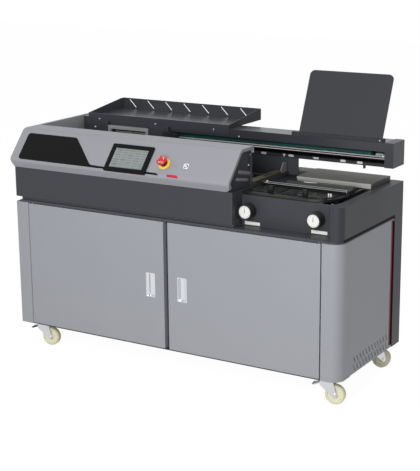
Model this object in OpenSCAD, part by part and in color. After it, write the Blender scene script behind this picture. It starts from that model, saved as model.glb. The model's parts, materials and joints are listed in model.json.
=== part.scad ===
// Perfect binding machine on a castored cabinet.
// X runs to the right, -Y is the operator's side, Z is up, and the floor is Z = 0.
// The pieces are drawn in cabinet coordinates: x from the middle, y back from the
// door faces and z up from the cabinet's underside. on_cabinet() puts them in place.

/* [Cabinet] */
// Width over the two side panels
cab_w = 1460; // [1400:5:1560]
// Depth from the door faces to the rear panel
cab_d = 538; // [530:2:560]
// Height of the lower cabinet, up to the deck plate
lower_h = 513; // [480:1:560]
// Thickness of the folded sheet steel
sheet_t = 2; // [1.5:0.5:2.5]
// Thickness of the base plate
base_t = 3; // [2:0.5:5]
// Width of the left corner post, seen from the front
left_post_w = 60; // [50:1:75]
// Width of the right corner post, seen from the front
right_post_w = 76; // [66:1:90]
// Depth of the right corner post along the side
right_post_d = 90; // [70:1:105]
// Radius of the right corner post
post_r = 46; // [30:1:60]
// Gap between the deck plate and the top of the doors
door_top_gap = 3; // [2:1:6]

/* [Doors] */
// Thickness of the door pans
door_t = 22; // [18:1:24]
// Gap between a door and its post
door_gap = 5; // [4.5:0.5:7]
// Gap between the two doors
centre_gap = 20; // [10:0.5:24]
// Place of the middle of that gap
centre_x = -5.5; // [-30:0.5:30]
// Diameter of the door pivot pins
pin_d = 8; // [6:1:10]
// Width of a flush pull
pull_w = 42; // [36:1:50]
// Height of a flush pull
pull_h = 96; // [80:1:120]
// Distance from a door's free edge to the middle of its pull
pull_inset = 62; // [50:1:80]
// Height of the pulls above the cabinet's underside
pull_z = 253; // [200:1:320]

/* [Castors] */
// Height from the floor to the cabinet's underside
castor_h = 104; // [100:1:116]
// Diameter of the wheels
wheel_d = 75; // [68:1:80]
// Width of the wheels
wheel_w = 28; // [24:1:32]
// Trail from the swivel axis to the axle
castor_trail = 30; // [26:1:34]
// Distance of a swivel axis from the nearer side
castor_in_x = 74; // [66:1:90]
// Distance of a swivel axis from the door faces or the rear panel
castor_in_y = 60; // [54:1:80]
// Diameter of the kingpins
kingpin_d = 12; // [10:1:14]
// Diameter of the axles
axle_d = 8; // [6:1:10]

/* [Upper housing] */
// Thickness of the deck plate
deck_t = 9; // [6:1:12]
// Height of the recessed plinth under the housing
plinth_h = 13; // [10:1:18]
// Width of the platform side, right of the left housing
plat_side_w = 441; // [420:1:470]
// Height of the left housing
house_h = 121; // [110:1:135]
// Height of the platform's top below the housing's top
platform_drop = 10; // [8:1:12]
// Setback of the knob panel from the door faces
panel_in = 73; // [65:1:80]
// Width of the corner column beside the knob panel
column_w = 45; // [40:1:54]

/* [Control cover] */
// Wall of the moulded cover
cover_t = 3; // [2.5:0.5:4]
// Height of the cover above the left housing
cover_h = 147; // [140:1:158]
// Width of the flat rim behind the slope, measured from the doors
cover_rim_y = 163; // [150:1:175]
// Thickness of the cover's left cheek
cheek_t = 12; // [8:1:16]
// Angle of the control slope from level
slope_a = 49; // [46:0.5:52]

/* [Controls] */
// Width of the operator panel's bezel
hmi_w = 190; // [170:1:210]
// Height of the operator panel's bezel, along the slope
hmi_h = 120; // [110:1:130]
// Distance from the housing's right end to the operator panel's middle
hmi_in = 459; // [430:1:500]
// Distance from the housing's right end to the stop button
estop_in = 299; // [280:1:320]
// Diameter of the stop button's mushroom cap
estop_d = 40; // [34:1:46]
// Travel of the stop button
estop_travel = 5; // [3:0.5:6]
// Distance from the housing's right end to the reset button
reset_in = 202; // [170:1:220]
// Diameter of the reset button's bezel
reset_d = 22; // [19:1:26]
// Travel of the reset button
reset_travel = 3; // [2:0.5:4]

/* [Beam] */
// Height of the beam's underside above the left housing
beam_lift = 56; // [52:1:64]
// Height of the beam
beam_h = 91; // [86:1:100]
// Depth of the beam
beam_d = 98; // [94:1:104]
// Wall of the beam
beam_wall = 6; // [5:0.5:7]
// Setback of the beam from the rear panel
beam_back = 3; // [2:1:10]
// Distance of the beam's left end from the cabinet's side
beam_in = 27; // [20:1:32]
// Length of the box on the beam's right end
end_box_l = 36; // [30:1:45]
// Height of the lip under the front slot
slot_lip = 12; // [10:1:14]
// Height of the front slot
slot_h = 46; // [44:1:50]
// Diameter of the guide rods
rod_d = 16; // [14:1:16]
// Distance between the guide rods
rod_pitch = 28; // [26:1:30]
// Width of the drive belt
belt_w = 20; // [16:1:24]
// Radius inside the belt's turns
belt_r = 15.3; // [14.3:0.5:16.3]
// Distance of the idler pulley from the cabinet's right side
idler_in = 130; // [110:5:170]
// Distance of the drive pulley from the cabinet's left side
drive_in = 100; // [90:5:120]

/* [Tray and board] */
// Width of the book tray
tray_w = 696; // [680:2:740]
// Distance of the tray's left end from the cabinet's side
tray_in = 54; // [40:1:60]
// How far the tray reaches behind the cabinet
tray_over = 159; // [120:1:170]
// Height of the tray's rear wall
tray_wall_h = 47; // [44:1:70]
// Height of the tray's front lip
tray_lip_h = 16; // [8:1:20]
// Number of slots in the tray's rear wall
tray_slots = 7; // [5:1:8]
// Pitch of those slots
tray_slot_pitch = 94; // [84:1:96]
// Width of the support board
board_w = 351; // [320:1:360]
// Length of the support board along its slope
board_l = 258; // [230:1:300]
// Thickness of the support board
board_t = 4; // [3:0.5:5]
// Lean of the support board from upright
board_a = 22.8; // [15:0.2:26]
// Distance from the left housing to the support board's left edge
board_in = 33; // [30:1:40]

/* [Carriage] */
// Length of the clamp carriage
carriage_l = 421; // [410:1:430]
// Distance of the parked carriage from the cabinet's left side
carriage_in = 48; // [46:1:55]
// Thickness of the clamp jaws
jaw_t = 16; // [12:1:18]
// Height of the clamp jaws
jaw_h = 92; // [80:1:100]
// Clearance between the clamp jaws and the left housing's top
jaw_clear = 14; // [13:1:20]
// Gap between the closed jaws
jaw_gap = 6; // [5:1:8]
// Stroke of the front jaw
jaw_stroke = 50; // [40:1:52]
// Diameter of the jaw's guide pins
jaw_pin_d = 16; // [12:1:18]

/* [Binding stations] */
// Diameter of the milling cutter
cutter_d = 160; // [150:1:170]
// Number of cutter teeth
cutter_teeth = 20; // [12:1:24]
// Distance from the housing's right end to the milling station
cutter_in = 419; // [400:1:430]
// Diameter of the glue roller
roller_d = 60; // [50:1:64]
// Length of the glue roller
roller_l = 62; // [50:1:66]
// Length of the glue tank along the beam
tank_l = 190; // [170:1:200]
// Distance from the housing's right end to the glue tank's middle
tank_in = 134; // [124:1:144]

/* [Cover platform] */
// Height of the rear nipping jaw
nip_h = 19; // [17:1:21]
// Depth of the rear nipping jaw
nip_d = 175; // [150:1:185]
// Gap between the open nipping jaws
nip_gap = 52; // [46:1:56]
// Diameter of the platform's lay rods
lay_rod_d = 8; // [6:1:10]
// Diameter of the position knobs
knob_d = 57; // [50:1:60]
// How far a knob stands out of its panel
knob_l = 40; // [34:1:45]
// Distance from the knob panel's left end to the left knob
knob_left_in = 33; // [32:1:60]
// Distance from the knob panel's right end to the right knob
knob_right_in = 83; // [76:1:100]
// Height of the knobs above the deck plate
knob_z = 58; // [50:1:70]
// Travel of a cover gauge
gauge_travel = 20; // [10:1:22]

/* [Vents] */
// Number of slots in a row
vent_n = 12; // [8:1:12]
// Pitch of the slots
vent_pitch = 26; // [22:1:27]
// Width of a slot
vent_w = 6; // [4:0.5:8]
// Height of a slot
vent_h = 25; // [18:1:27]

/* [Hidden] */
$fn = 64;

// Clearances
run_clear = 0.05;
gap = 0.3;
air = 2;
eps = 0.5;

// Colours
light_grey = [0.64, 0.65, 0.68];
cover_grey = [0.66, 0.67, 0.69];
side_grey = [0.50, 0.50, 0.52];
charcoal = [0.28, 0.28, 0.31];
black = [0.11, 0.11, 0.12];
steel = [0.62, 0.62, 0.60];
chrome = [0.80, 0.81, 0.83];
dark_steel = [0.34, 0.34, 0.33];
cream = [0.88, 0.86, 0.74];
red = [0.75, 0.12, 0.16];
teal = [0.10, 0.42, 0.38];
brass = [0.55, 0.50, 0.32];

// Cabinet levels and edges
x_left = -cab_w / 2;
x_right = cab_w / 2;
z_ledge = lower_h + deck_t;
z_house = z_ledge + plinth_h;
z_table = z_house + house_h;
z_plat = z_table - platform_drop;
house_x = x_right - plat_side_w;
column_x = x_right - column_w;
plinth_in = 22;

// Doors
door_x0 = x_left + left_post_w + door_gap;
door_x1 = centre_x - centre_gap / 2;
door_x2 = centre_x + centre_gap / 2;
door_x3 = x_right - right_post_w - door_gap;
door_z0 = base_t + air;
door_z1 = lower_h - door_top_gap;
pivot_in = door_t / 2;
bush_d = pin_d + 8;
bush_l = 14;
pull_depth = 12;
mullion_w = 50;

// Cover outline, from the lip at the table to the rim, as corners and radii
knee_z = z_table + 48;
knee_out = 15;
function slope_y(z) = (z - knee_z) / tan(slope_a) - knee_out;
nose_z = z_table + 34;
cover_z1 = z_table + cover_h;
cover_corners = [
    [0, z_table], [slope_y(nose_z), nose_z], [slope_y(cover_z1), cover_z1], [cover_rim_y, cover_z1]
];
cover_radii = [0, 15, 32, 0];
cover_out = round_path(cover_corners, cover_radii);
cover_in = inset_path(cover_out, cover_t);
cover_front = min([for (p = cover_out) p[0]]);
rim_drop = 25;
end_frame = 12;
corner_r = 30;
hmi_low = 20;
hmi_x = house_x - hmi_in;
hmi_t = 6;
hmi_edge = 14;
estop_x = house_x - estop_in;
estop_up = 38;
reset_x = house_x - reset_in;
reset_up = 37;

// Whole outline: the origin lies under the middle of the bounding box
hmi_front = slope_y(knee_z) - hmi_low * cos(slope_a) - hmi_t * sin(slope_a);
front_y = -(cab_d + tray_over + min(cover_front, hmi_front)) / 2;

// Beam
beam_z = z_table + beam_lift;
beam_top = beam_z + beam_h;
beam_y1 = cab_d - beam_back;
beam_y0 = beam_y1 - beam_d;
beam_x0 = x_left + beam_in;
beam_x1 = x_right - end_box_l;
end_plate = 6;
slot_z0 = beam_z + slot_lip;
slot_z1 = slot_z0 + slot_h;
rod_r = rod_d / 2;
rod_z = slot_z0 + rod_r + 5;
rod_y0 = beam_y0 + 13;
rod_y1 = rod_y0 + rod_pitch;
belt_t = 2;
belt_y = rod_y1 + 12 + belt_r + belt_t;
belt_z = slot_z0 + 21;
drive_x = x_left + drive_in;
idler_x = x_right - idler_in;
pulley_r = belt_r - gap;
flange_r = pulley_r + 2.5;
motor_h = 78;
pillar_w = 24;
pillar_x = house_x - 37;
screen_x0 = pillar_x - 120;
screen_x1 = house_x + 42;
pillar_y0 = beam_y0 + 2;
pillar_y1 = beam_y1 - 2;
pillar_t = 4;

// Tray and board
tray_x0 = x_left + tray_in;
tray_x1 = tray_x0 + tray_w;
tray_y0 = beam_y0 - sheet_t;
tray_y1 = cab_d + tray_over;
tray_z = beam_top + sheet_t;
tray_flange = 22;
tray_slot_w = 4;
tray_slot_l = 46;
holder_h = 12;
holder_d = 26;
holder_y = beam_y0 + 10;
holder_side = 12;
board_x = house_x + board_in;
board_seat_y = holder_y + 11;
board_seat_z = beam_top + 2;

// Carriage, hung from the rods, with its clamp in front of the beam
block_y0 = beam_y0 - 18;
block_y1 = belt_y - belt_r - belt_t - gap;
block_plate = 14;
left_block_l = 118;
right_block_l = 99;
carriage_x = x_left + carriage_in;
jaw_z0 = z_table + jaw_clear;
jaw_z1 = jaw_z0 + jaw_h;
bridge_z0 = jaw_z0 + 34;
bridge_t = 12;
rail_z0 = slot_z1 - 8;
rail_z1 = slot_z1 + 6;
rail_t = 12;

// Book line: the rear face of the book, shared by the clamp, mill, glue roller and nip
book_y = beam_y0 - 95;
front_jaw_y1 = book_y - jaw_gap;
front_jaw_y0 = front_jaw_y1 - jaw_t;
yoke_t = 12;
yoke_y1 = front_jaw_y0 - jaw_stroke - 4;
yoke_y0 = yoke_y1 - yoke_t;
jaw_pin_z = bridge_z0 + bridge_t + 16;
jaw_pin_in = 60;
jaw_screw_out = 8;
spine_y = book_y - 27;
spine_z = jaw_z0 - 8;

// Milling station and glue station
cutter_t = 8;
tooth_h = 4;
cutter_top = spine_z - 1;
cutter_z = cutter_top - tooth_h - cutter_t;
hood_t = 3;
hood_r = cutter_d / 2 + 8;
hood_h = 34;
mill_motor_d = 110;
cutter_shaft_d = 20;
cutter_x = house_x - cutter_in;
chute_w = 60;
bin_h = 360;
chute_y = spine_y + hood_r;
tank_x = house_x - tank_in;
tank_w = roller_l + 34;
tank_wall = 5;
tank_z0 = z_house + sheet_t;
roller_z = spine_z - roller_d / 2;
tank_z1 = roller_z + roller_d / 2 - 10;
roller_shaft_d = 12;

// Platform
band_w = 73;
trim_t = 2.4;
plat_x0 = house_x + 2;
plat_x1 = x_right - 42;
plat_t = 11;
plat_r = 110;
plat_step_x = plat_x1 - 27;
panel_y1 = panel_in + sheet_t;
panel_z1 = z_plat - 9;
plat_y0 = panel_y1 + 4;
plat_y1 = cab_d - 2;
nip_x0 = plat_x0 + 84;
nip_x1 = plat_x1 - 3;
nip_front_x1 = plat_step_x - 11;
nip_front_y1 = book_y - nip_gap;
nip_front_d = 40;
nip_front_y0 = nip_front_y1 - nip_front_d;
nip_pocket = 7;
lay_y0 = nip_front_y0 - 34;
lay_y1 = lay_y0 + 22;
lay_z = z_plat + lay_rod_d / 2 + 3;
lay_block_w = 10;
gauge_t = 2;
gauge_y1 = lay_y0 - lay_rod_d / 2 - 3;
gauge_y0 = panel_y1 + gauge_travel + 9;
knob_shaft_d = 10;
screw_d = 12;
knob_x0 = house_x + knob_left_in;
knob_x1 = column_x - knob_right_in;
knob_h = z_ledge + knob_z;
gauge_arm_w = 26;
gauge_arm_t = 16;
gauge_arm_y = gauge_y0 + gauge_travel + 12;
gauge_slot_end = 6;
gauge_split = house_x + 137;
gauge_gap = 12;
gauge_left_in = 14;
gauge_right_in = 31;
stop_left_in = 50;
stop_right_in = 90;

// Castors
channel_w = 90;
channel_h = 26;
channel_y0 = door_t + 8;
castor_front_y = castor_in_y;
castor_rear_y = cab_d - castor_in_y;
castor_left_x = x_left + castor_in_x;
castor_right_x = x_right - castor_in_x;
front_swing = 10;
rear_left_swing = 120;
rear_right_swing = 53;
plate_t = 3;
race_h = 10;
fork_t = 3;
fork_gap = 2;
fork_z = -plate_t - race_h;
axle_z = wheel_d / 2 - castor_h;
fork_half = wheel_w / 2 + fork_gap;
pedal_r = 5;
brake_pin_d = 5;
pedal_x = -16;
pedal_z = fork_z - 9;

// ---- Outline helpers ----

function unit(v) = v / norm(v);

// Points of a round corner of radius r at b, between a and c
function round_corner(a, b, c, r, n = 6) =
    r <= 0 ? [b] :
    let (u = unit(a - b), v = unit(c - b), h = acos(u * v) / 2,
        o = b + unit(u + v) * r / sin(h),
        s = b + u * r / tan(h) - o, e = b + v * r / tan(h) - o,
        a0 = atan2(s[1], s[0]), da = atan2(s[0] * e[1] - s[1] * e[0], s * e))
    [for (i = [0:n]) o + r * [cos(a0 + da * i / n), sin(a0 + da * i / n)]];

// An open path with rounded inner corners
function round_path(p, r) = [
    for (i = [0:len(p) - 1])
        each (i == 0 || i == len(p) - 1 ? [p[i]] : round_corner(p[i - 1], p[i], p[i + 1], r[i]))
];

// A closed outline with rounded corners
function round_loop(p, r) = [
    for (i = [0:len(p) - 1])
        each round_corner(p[(i + len(p) - 1) % len(p)], p[i], p[(i + 1) % len(p)], r[i])
];

// The right-hand normal of the path at point i
function path_normal(p, i) =
    let (d0 = i > 0 ? unit(p[i] - p[i - 1]) : unit(p[1] - p[0]),
        d1 = i < len(p) - 1 ? unit(p[i + 1] - p[i]) : d0, m = unit(d0 + d1))
    [m[1], -m[0]] / (m * d0);

// The same path moved sideways by t
function inset_path(p, t) = [for (i = [0:len(p) - 1]) p[i] + t * path_normal(p, i)];

function flip(p) = [for (i = [len(p) - 1:-1:0]) p[i]];

// ---- Shape helpers ----

module on_cabinet() {
    translate([0, front_y, castor_h]) children();
}

module span(x0, x1, y0, y1, z0, z1) {
    translate([x0, y0, z0]) cube([x1 - x0, y1 - y0, z1 - z0]);
}

// A (y, z) outline drawn out along X
module along_x(x0, x1) {
    translate([x0, 0, 0]) rotate([90, 0, 90]) linear_extrude(x1 - x0) children();
}

// An (x, z) outline drawn out along Y
module along_y(y0, y1) {
    translate([0, y1, 0]) rotate([90, 0, 0]) linear_extrude(y1 - y0) children();
}

// A round bar along Y
module bar_y(x, y0, y1, z, d) {
    translate([x, y1, z]) rotate([90, 0, 0]) cylinder(h = y1 - y0, d = d);
}

// A round bar along X
module bar_x(x0, x1, y, z, d) {
    translate([x0, y, z]) rotate([0, 90, 0]) cylinder(h = x1 - x0, d = d);
}

// A rectangle with four round corners
module round_rect(x0, x1, y0, y1, r) {
    translate([x0 + r, y0]) square([x1 - x0 - 2 * r, y1 - y0]);
    translate([x0, y0 + r]) square([x1 - x0, y1 - y0 - 2 * r]);
    for (x = [x0 + r, x1 - r], y = [y0 + r, y1 - r]) translate([x, y]) circle(r);
}

// A straight bar with round ends
module stadium(l, r) {
    translate([-l / 2, -r]) square([l, 2 * r]);
    for (s = [-1, 1]) translate([s * l / 2, 0]) circle(r);
}

// Places children on the control slope: x across, y up the slope, z out of it
module on_slope(x, up) {
    translate([x, slope_y(knee_z) + up * cos(slope_a), knee_z + up * sin(slope_a)])
        rotate([slope_a, 0, 0]) children();
}

// ---- Lower cabinet ----

// Folded base tray with a mullion behind the doors and two channels over the castor plates
module base_frame() {
    half = channel_w / 2;
    mullion_x0 = centre_x - mullion_w / 2;
    mullion_x1 = centre_x + mullion_w / 2;
    mullion_y0 = door_t + air;
    color(charcoal) on_cabinet() difference() {
        union() {
            span(x_left + sheet_t, x_right - sheet_t - 1, air, cab_d - sheet_t, 0, base_t);
            for (x = [castor_left_x, castor_right_x])
                span(x - half, x + half, channel_y0, cab_d - 18, base_t, base_t + channel_h);
            span(mullion_x0, mullion_x1, mullion_y0, mullion_y0 + 28, base_t, lower_h - gap);
        }
        span(mullion_x0 + sheet_t, mullion_x1 - sheet_t, mullion_y0 + sheet_t, mullion_y0 + 29,
            base_t, lower_h);
        for (x = [castor_left_x, castor_right_x])
            span(x - half + base_t, x + half - base_t, channel_y0 - 1, cab_d - 17, base_t, channel_h);
        for (x = [door_x0 + pivot_in, door_x3 - pivot_in])
            translate([x, pivot_in, -eps]) cylinder(h = base_t + 1, d = pin_d);
        span(x_right - post_r - sheet_t, x_right, -1, post_r, -eps, base_t + eps);
    }
}

// Side panel and corner post folded from one sheet
module left_side_panel() {
    fold_in = 30;
    color(light_grey) on_cabinet() difference() {
        linear_extrude(lower_h) difference() {
            round_rect(x_left, x_left + left_post_w, 0, cab_d, 6);
            round_rect(x_left + sheet_t, x_left + left_post_w - sheet_t, sheet_t, cab_d - sheet_t, 4);
            translate([x_left + left_post_w / 2, fold_in]) square([left_post_w, cab_d]);
        }
        span(x_left + sheet_t, x_left + left_post_w, sheet_t, cab_d, -eps, base_t);
    }
}

// Rounded corner post
module right_post() {
    post_x = x_right - right_post_w;
    color(light_grey) on_cabinet() {
        linear_extrude(lower_h) {
            translate([post_x, 0]) square([right_post_w - post_r, sheet_t]);
            translate([x_right - sheet_t, post_r]) square([sheet_t, right_post_d - post_r]);
            translate([x_right - post_r, post_r]) intersection() {
                difference() {
                    circle(post_r);
                    circle(post_r - sheet_t);
                }
                translate([0, -post_r]) square(post_r);
            }
        }
        span(post_x, post_x + sheet_t, 0, 30, base_t, lower_h);
    }
}

// Side panel with two rows of slanted vent slots
module right_side_panel() {
    y0 = right_post_d + air;
    y1 = cab_d - 76;
    x0 = x_right - sheet_t - 1;
    rows = [air + 3, air + vent_h + 11];
    color(side_grey) on_cabinet() difference() {
        union() {
            span(x0, x0 + sheet_t, y0, y1, base_t - 1, lower_h);
            for (y = [y0, y1 - sheet_t]) span(x0 - 14, x0, y, y + sheet_t, base_t, lower_h);
        }
        translate([0, 0, base_t]) for (z = rows, i = [0:vent_n - 1]) {
            y = right_post_d + 30 + i * vent_pitch;
            along_x(x0 - 1, x0 + sheet_t + 1)
                polygon([[y, z + vent_h], [y + vent_w, z + vent_h], [y + vent_w + 14, z], [y + 14, z]]);
        }
    }
}

// Plain rear panel with folded edges and a round mains inlet
module rear_panel() {
    x0 = x_left + left_post_w / 2 + air;
    x1 = x_right - 20;
    fold = 16;
    inlet_x = x_left + 140;
    inlet_z = 60;
    inlet_d = 34;
    inlet_l = 26;
    inlet_wall = 4;
    color(light_grey) on_cabinet() difference() {
        union() {
            span(x0, x1, cab_d - sheet_t, cab_d, 0, lower_h);
            for (x = [x0, x1 - sheet_t]) span(x, x + sheet_t, cab_d - fold, cab_d, base_t, lower_h);
            bar_y(inlet_x, cab_d - inlet_l, cab_d, inlet_z, inlet_d);
        }
        bar_y(inlet_x, cab_d - inlet_l + 2 * inlet_wall, cab_d + 1, inlet_z, inlet_d - 2 * inlet_wall);
    }
}

// Deck plate over the cabinet, with the recessed plinth of the left housing
module top_deck() {
    inner = 60;
    setback = 14;
    edge_in = sheet_t + gap;
    plinth_x0 = x_left + plinth_in;
    color(charcoal) on_cabinet() difference() {
        union() {
            translate([0, 0, lower_h]) linear_extrude(deck_t) union() {
                translate([plinth_x0, edge_in])
                    square([x_right - post_r - plinth_x0, cab_d - 2 * edge_in]);
                translate([plinth_x0, post_r])
                    square([x_right - edge_in - plinth_x0, cab_d - post_r - edge_in]);
                translate([x_right - post_r, post_r]) circle(post_r - edge_in);
            }
            span(plinth_x0, house_x - sheet_t, setback, cab_d - setback, z_ledge, z_house);
        }
        span(plinth_x0 + inner, house_x - inner, setback + inner, cab_d - setback - inner,
            z_ledge, z_house + 1);
        for (x = [door_x0 + pivot_in, door_x3 - pivot_in])
            translate([x, pivot_in, lower_h - eps]) cylinder(h = deck_t, d = pin_d);
        translate([cutter_x, chute_y, lower_h - eps]) linear_extrude(deck_t + 1)
            square(chute_w + 2 * air, center = true);
    }
}

// Four door pivot pins, pressed into the base plate and the deck plate
module hinge_pins() {
    color(chrome) on_cabinet() for (x = [door_x0 + pivot_in, door_x3 - pivot_in]) {
        translate([x, pivot_in, 0]) cylinder(h = door_z0 + bush_l - 2, d = pin_d);
        translate([x, pivot_in, door_z1 - bush_l + 2])
            cylinder(h = lower_h + deck_t - eps - door_z1 + bush_l - 2, d = pin_d);
    }
}

// A door pan with its pivot bushes and the cut-out for its pull
module door(x0, x1, pivot_x, pull_x) {
    color(light_grey) on_cabinet() difference() {
        union() {
            difference() {
                span(x0, x1, 0, door_t, door_z0, door_z1);
                span(x0 + sheet_t, x1 - sheet_t, sheet_t, door_t - sheet_t,
                    door_z0 + sheet_t, door_z1 - sheet_t);
                span(x0 + 16, x1 - 16, door_t - sheet_t - 1, door_t + 1, door_z0 + 16, door_z1 - 16);
            }
            for (z = [door_z0, door_z1 - bush_l])
                translate([pivot_x, pivot_in, z]) cylinder(h = bush_l, d = bush_d);
        }
        for (z = [door_z0 - 1, door_z1 - bush_l - 1])
            translate([pivot_x, pivot_in, z]) cylinder(h = bush_l + 2, d = pin_d + 2 * run_clear);
        along_y(-1, sheet_t + 1) translate([pull_x, pull_z])
            round_rect(-pull_w / 2, pull_w / 2, -pull_h / 2, pull_h / 2, 3);
    }
}

module door_left() {
    door(door_x0, door_x1, door_x0 + pivot_in, door_x1 - pull_inset);
}

module door_right() {
    door(door_x2, door_x3, door_x3 - pivot_in, door_x2 + pull_inset);
}

// A pressed flush pull: a deep cup with a rolled grip on its free side
module pull(x, side) {
    w = pull_w / 2;
    h = pull_h / 2;
    color(chrome) on_cabinet() translate([x, 0, pull_z]) {
        difference() {
            along_y(0, pull_depth) round_rect(-w, w, -h, h, 3);
            along_y(-1, pull_depth - sheet_t) round_rect(3 - w, w - 3, 3 - h, h - 3, 2);
        }
        intersection() {
            translate([side * (w - 3), pull_depth - 1, 3 - h]) cylinder(h = pull_h - 6, r = pull_depth - 2);
            span(-w, w, 1, pull_depth - 1, -h, h);
        }
    }
}

module pull_left() {
    pull(door_x1 - pull_inset, -1);
}

module pull_right() {
    pull(door_x2 + pull_inset, 1);
}

// ---- Inside the lower cabinet ----

// Waste paper bin with its lid and blower, under the milling chute
module dust_bin() {
    w = 360;
    y0 = 90;
    y1 = cab_d - 40;
    h = bin_h;
    wall = 4;
    lid_t = 14;
    lid_out = 8;
    blower_h = 70;
    color(charcoal) on_cabinet() translate([cutter_x, 0, base_t]) {
        difference() {
            union() {
                linear_extrude(h) round_rect(-w / 2, w / 2, y0, y1, 20);
                translate([0, 0, h]) linear_extrude(lid_t)
                    round_rect(-w / 2 - lid_out, w / 2 + lid_out, y0 - lid_out, y1 + lid_out, 24);
            }
            translate([0, 0, wall]) linear_extrude(h - wall)
                round_rect(wall - w / 2, w / 2 - wall, y0 + wall, y1 - wall, 16);
            translate([0, chute_y, h - 1]) linear_extrude(lid_t + 2)
                square(chute_w + 2 * air, center = true);
        }
        translate([-w / 4, y0 + w / 4, h + lid_t]) cylinder(h = blower_h, d = 110);
        translate([-w / 4, y0 + w / 4, h + lid_t + blower_h]) cylinder(h = 14, d = 60);
    }
}

// Control enclosure hung on the rear panel
module electrical_box() {
    w = 400;
    h = 360;
    d = 110;
    lid_in = 10;
    lid_t = 4;
    x0 = x_right - 150 - w;
    y0 = cab_d - sheet_t - d;
    z0 = 80;
    color(light_grey) on_cabinet() {
        span(x0, x0 + w, y0, y0 + d, z0, z0 + h);
        span(x0 + lid_in, x0 + w - lid_in, y0 - lid_t, y0, z0 + lid_in, z0 + h - lid_in);
        bar_y(x0 + w - 40, y0 - lid_t - 8, y0 - lid_t, z0 + h / 2, 24);
    }
}

// ---- Castors ----

// A castor's own axes: x along its trail, z down from the cabinet's underside
module at_castor(x, y, swing) {
    on_cabinet() translate([x, y, 0]) rotate([0, 0, swing]) children();
}

// Mounting plates with their races and kingpins
module castor_plates() {
    for (p = [
            [castor_left_x, castor_front_y], [castor_right_x, castor_front_y],
            [castor_left_x, castor_rear_y], [castor_right_x, castor_rear_y]
        ]) color(chrome) at_castor(p[0], p[1], 0) {
        translate([-38, -32, -plate_t]) cube([76, 64, plate_t]);
        translate([0, 0, -plate_t - race_h + gap]) cylinder(h = race_h - gap, d = 44);
        translate([0, 0, fork_z - fork_t - 4]) cylinder(h = fork_t + 6, d = kingpin_d);
        translate([0, 0, fork_z - fork_t - 4]) cylinder(h = 4 - gap, d = kingpin_d + 8);
    }
}

// One cheek of a fork, as an (x, z) outline
module fork_cheek() {
    polygon([[-24, fork_z], [25, fork_z], [25, fork_z - 6], [castor_trail + 9, axle_z + 4],
            [castor_trail - 9, axle_z - 4], [-24, fork_z - 20]]);
    translate([castor_trail, axle_z]) circle(10);
}

// Fork with its top plate, two cheeks, riveted axle and, in front, a brake pin
module fork(brake = false) {
    color(chrome) {
        difference() {
            union() {
                translate([0, 0, fork_z - fork_t]) linear_extrude(fork_t) union() {
                    circle(26);
                    translate([-24, -fork_half]) square([48, 2 * fork_half]);
                }
                for (s = [-1, 1]) translate([0, s * fork_half, 0])
                    along_y(s > 0 ? 0 : -fork_t, s > 0 ? fork_t : 0) fork_cheek();
            }
            translate([0, 0, fork_z - fork_t - 1]) cylinder(h = fork_t + 2, d = kingpin_d + 2 * run_clear);
        }
        bar_y(castor_trail, -fork_half - fork_t - 3, fork_half + fork_t + 3, axle_z, axle_d);
        if (brake) bar_y(pedal_x, -fork_half - fork_t, fork_half + fork_t, pedal_z, brake_pin_d);
        for (s = [-1, 1])
            bar_y(castor_trail, s > 0 ? fork_half + fork_t : -fork_half - fork_t - 4,
                s > 0 ? fork_half + fork_t + 4 : -fork_half - fork_t, axle_z, axle_d + 5);
    }
}

// Wheel: hub, web and a rounded tread, turned about its axle
module wheel() {
    r = wheel_d / 2;
    w = wheel_w / 2;
    hub = 11;
    color(cream) translate([castor_trail, 0, axle_z]) rotate([90, 0, 0]) rotate_extrude() difference() {
        polygon([[axle_d / 2 + run_clear, -w], [hub, -w], [hub + 2, 5 - w], [r - 10, 5 - w], [r - 8, -w],
                [r - 4, -w], [r, 5 - w], [r, w - 5], [r - 4, w], [r - 8, w], [r - 10, w - 5],
                [hub + 2, w - 5], [hub, w], [axle_d / 2 + run_clear, w]]);
    }
}

// Brake pedal: a pressed tread on a barrel that turns on the fork's brake pin
module pedal() {
    reach = 34;
    half = fork_half - gap;
    color(dark_steel) difference() {
        union() {
            bar_y(pedal_x, -half, half, pedal_z, 2 * pedal_r);
            along_y(-half, half) polygon([[pedal_x, pedal_z - 2], [pedal_x - reach, pedal_z - 14],
                    [pedal_x - reach - 6, pedal_z - 13], [pedal_x - reach - 6, pedal_z - 10],
                    [pedal_x - reach, pedal_z - 10], [pedal_x - 2, pedal_z + 3]]);
        }
        bar_y(pedal_x, -half - 1, half + 1, pedal_z, brake_pin_d + 2 * run_clear);
    }
}

module fork_front_left() {
    at_castor(castor_left_x, castor_front_y, front_swing) fork(true);
}

module fork_front_right() {
    at_castor(castor_right_x, castor_front_y, front_swing) fork(true);
}

module fork_rear_left() {
    at_castor(castor_left_x, castor_rear_y, rear_left_swing) fork();
}

module fork_rear_right() {
    at_castor(castor_right_x, castor_rear_y, rear_right_swing) fork();
}

module wheel_front_left() {
    at_castor(castor_left_x, castor_front_y, front_swing) wheel();
}

module wheel_front_right() {
    at_castor(castor_right_x, castor_front_y, front_swing) wheel();
}

module wheel_rear_left() {
    at_castor(castor_left_x, castor_rear_y, rear_left_swing) wheel();
}

module wheel_rear_right() {
    at_castor(castor_right_x, castor_rear_y, rear_right_swing) wheel();
}

module pedal_left() {
    at_castor(castor_left_x, castor_front_y, front_swing) pedal();
}

module pedal_right() {
    at_castor(castor_right_x, castor_front_y, front_swing) pedal();
}

// ---- Upper housing and control cover ----

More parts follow.
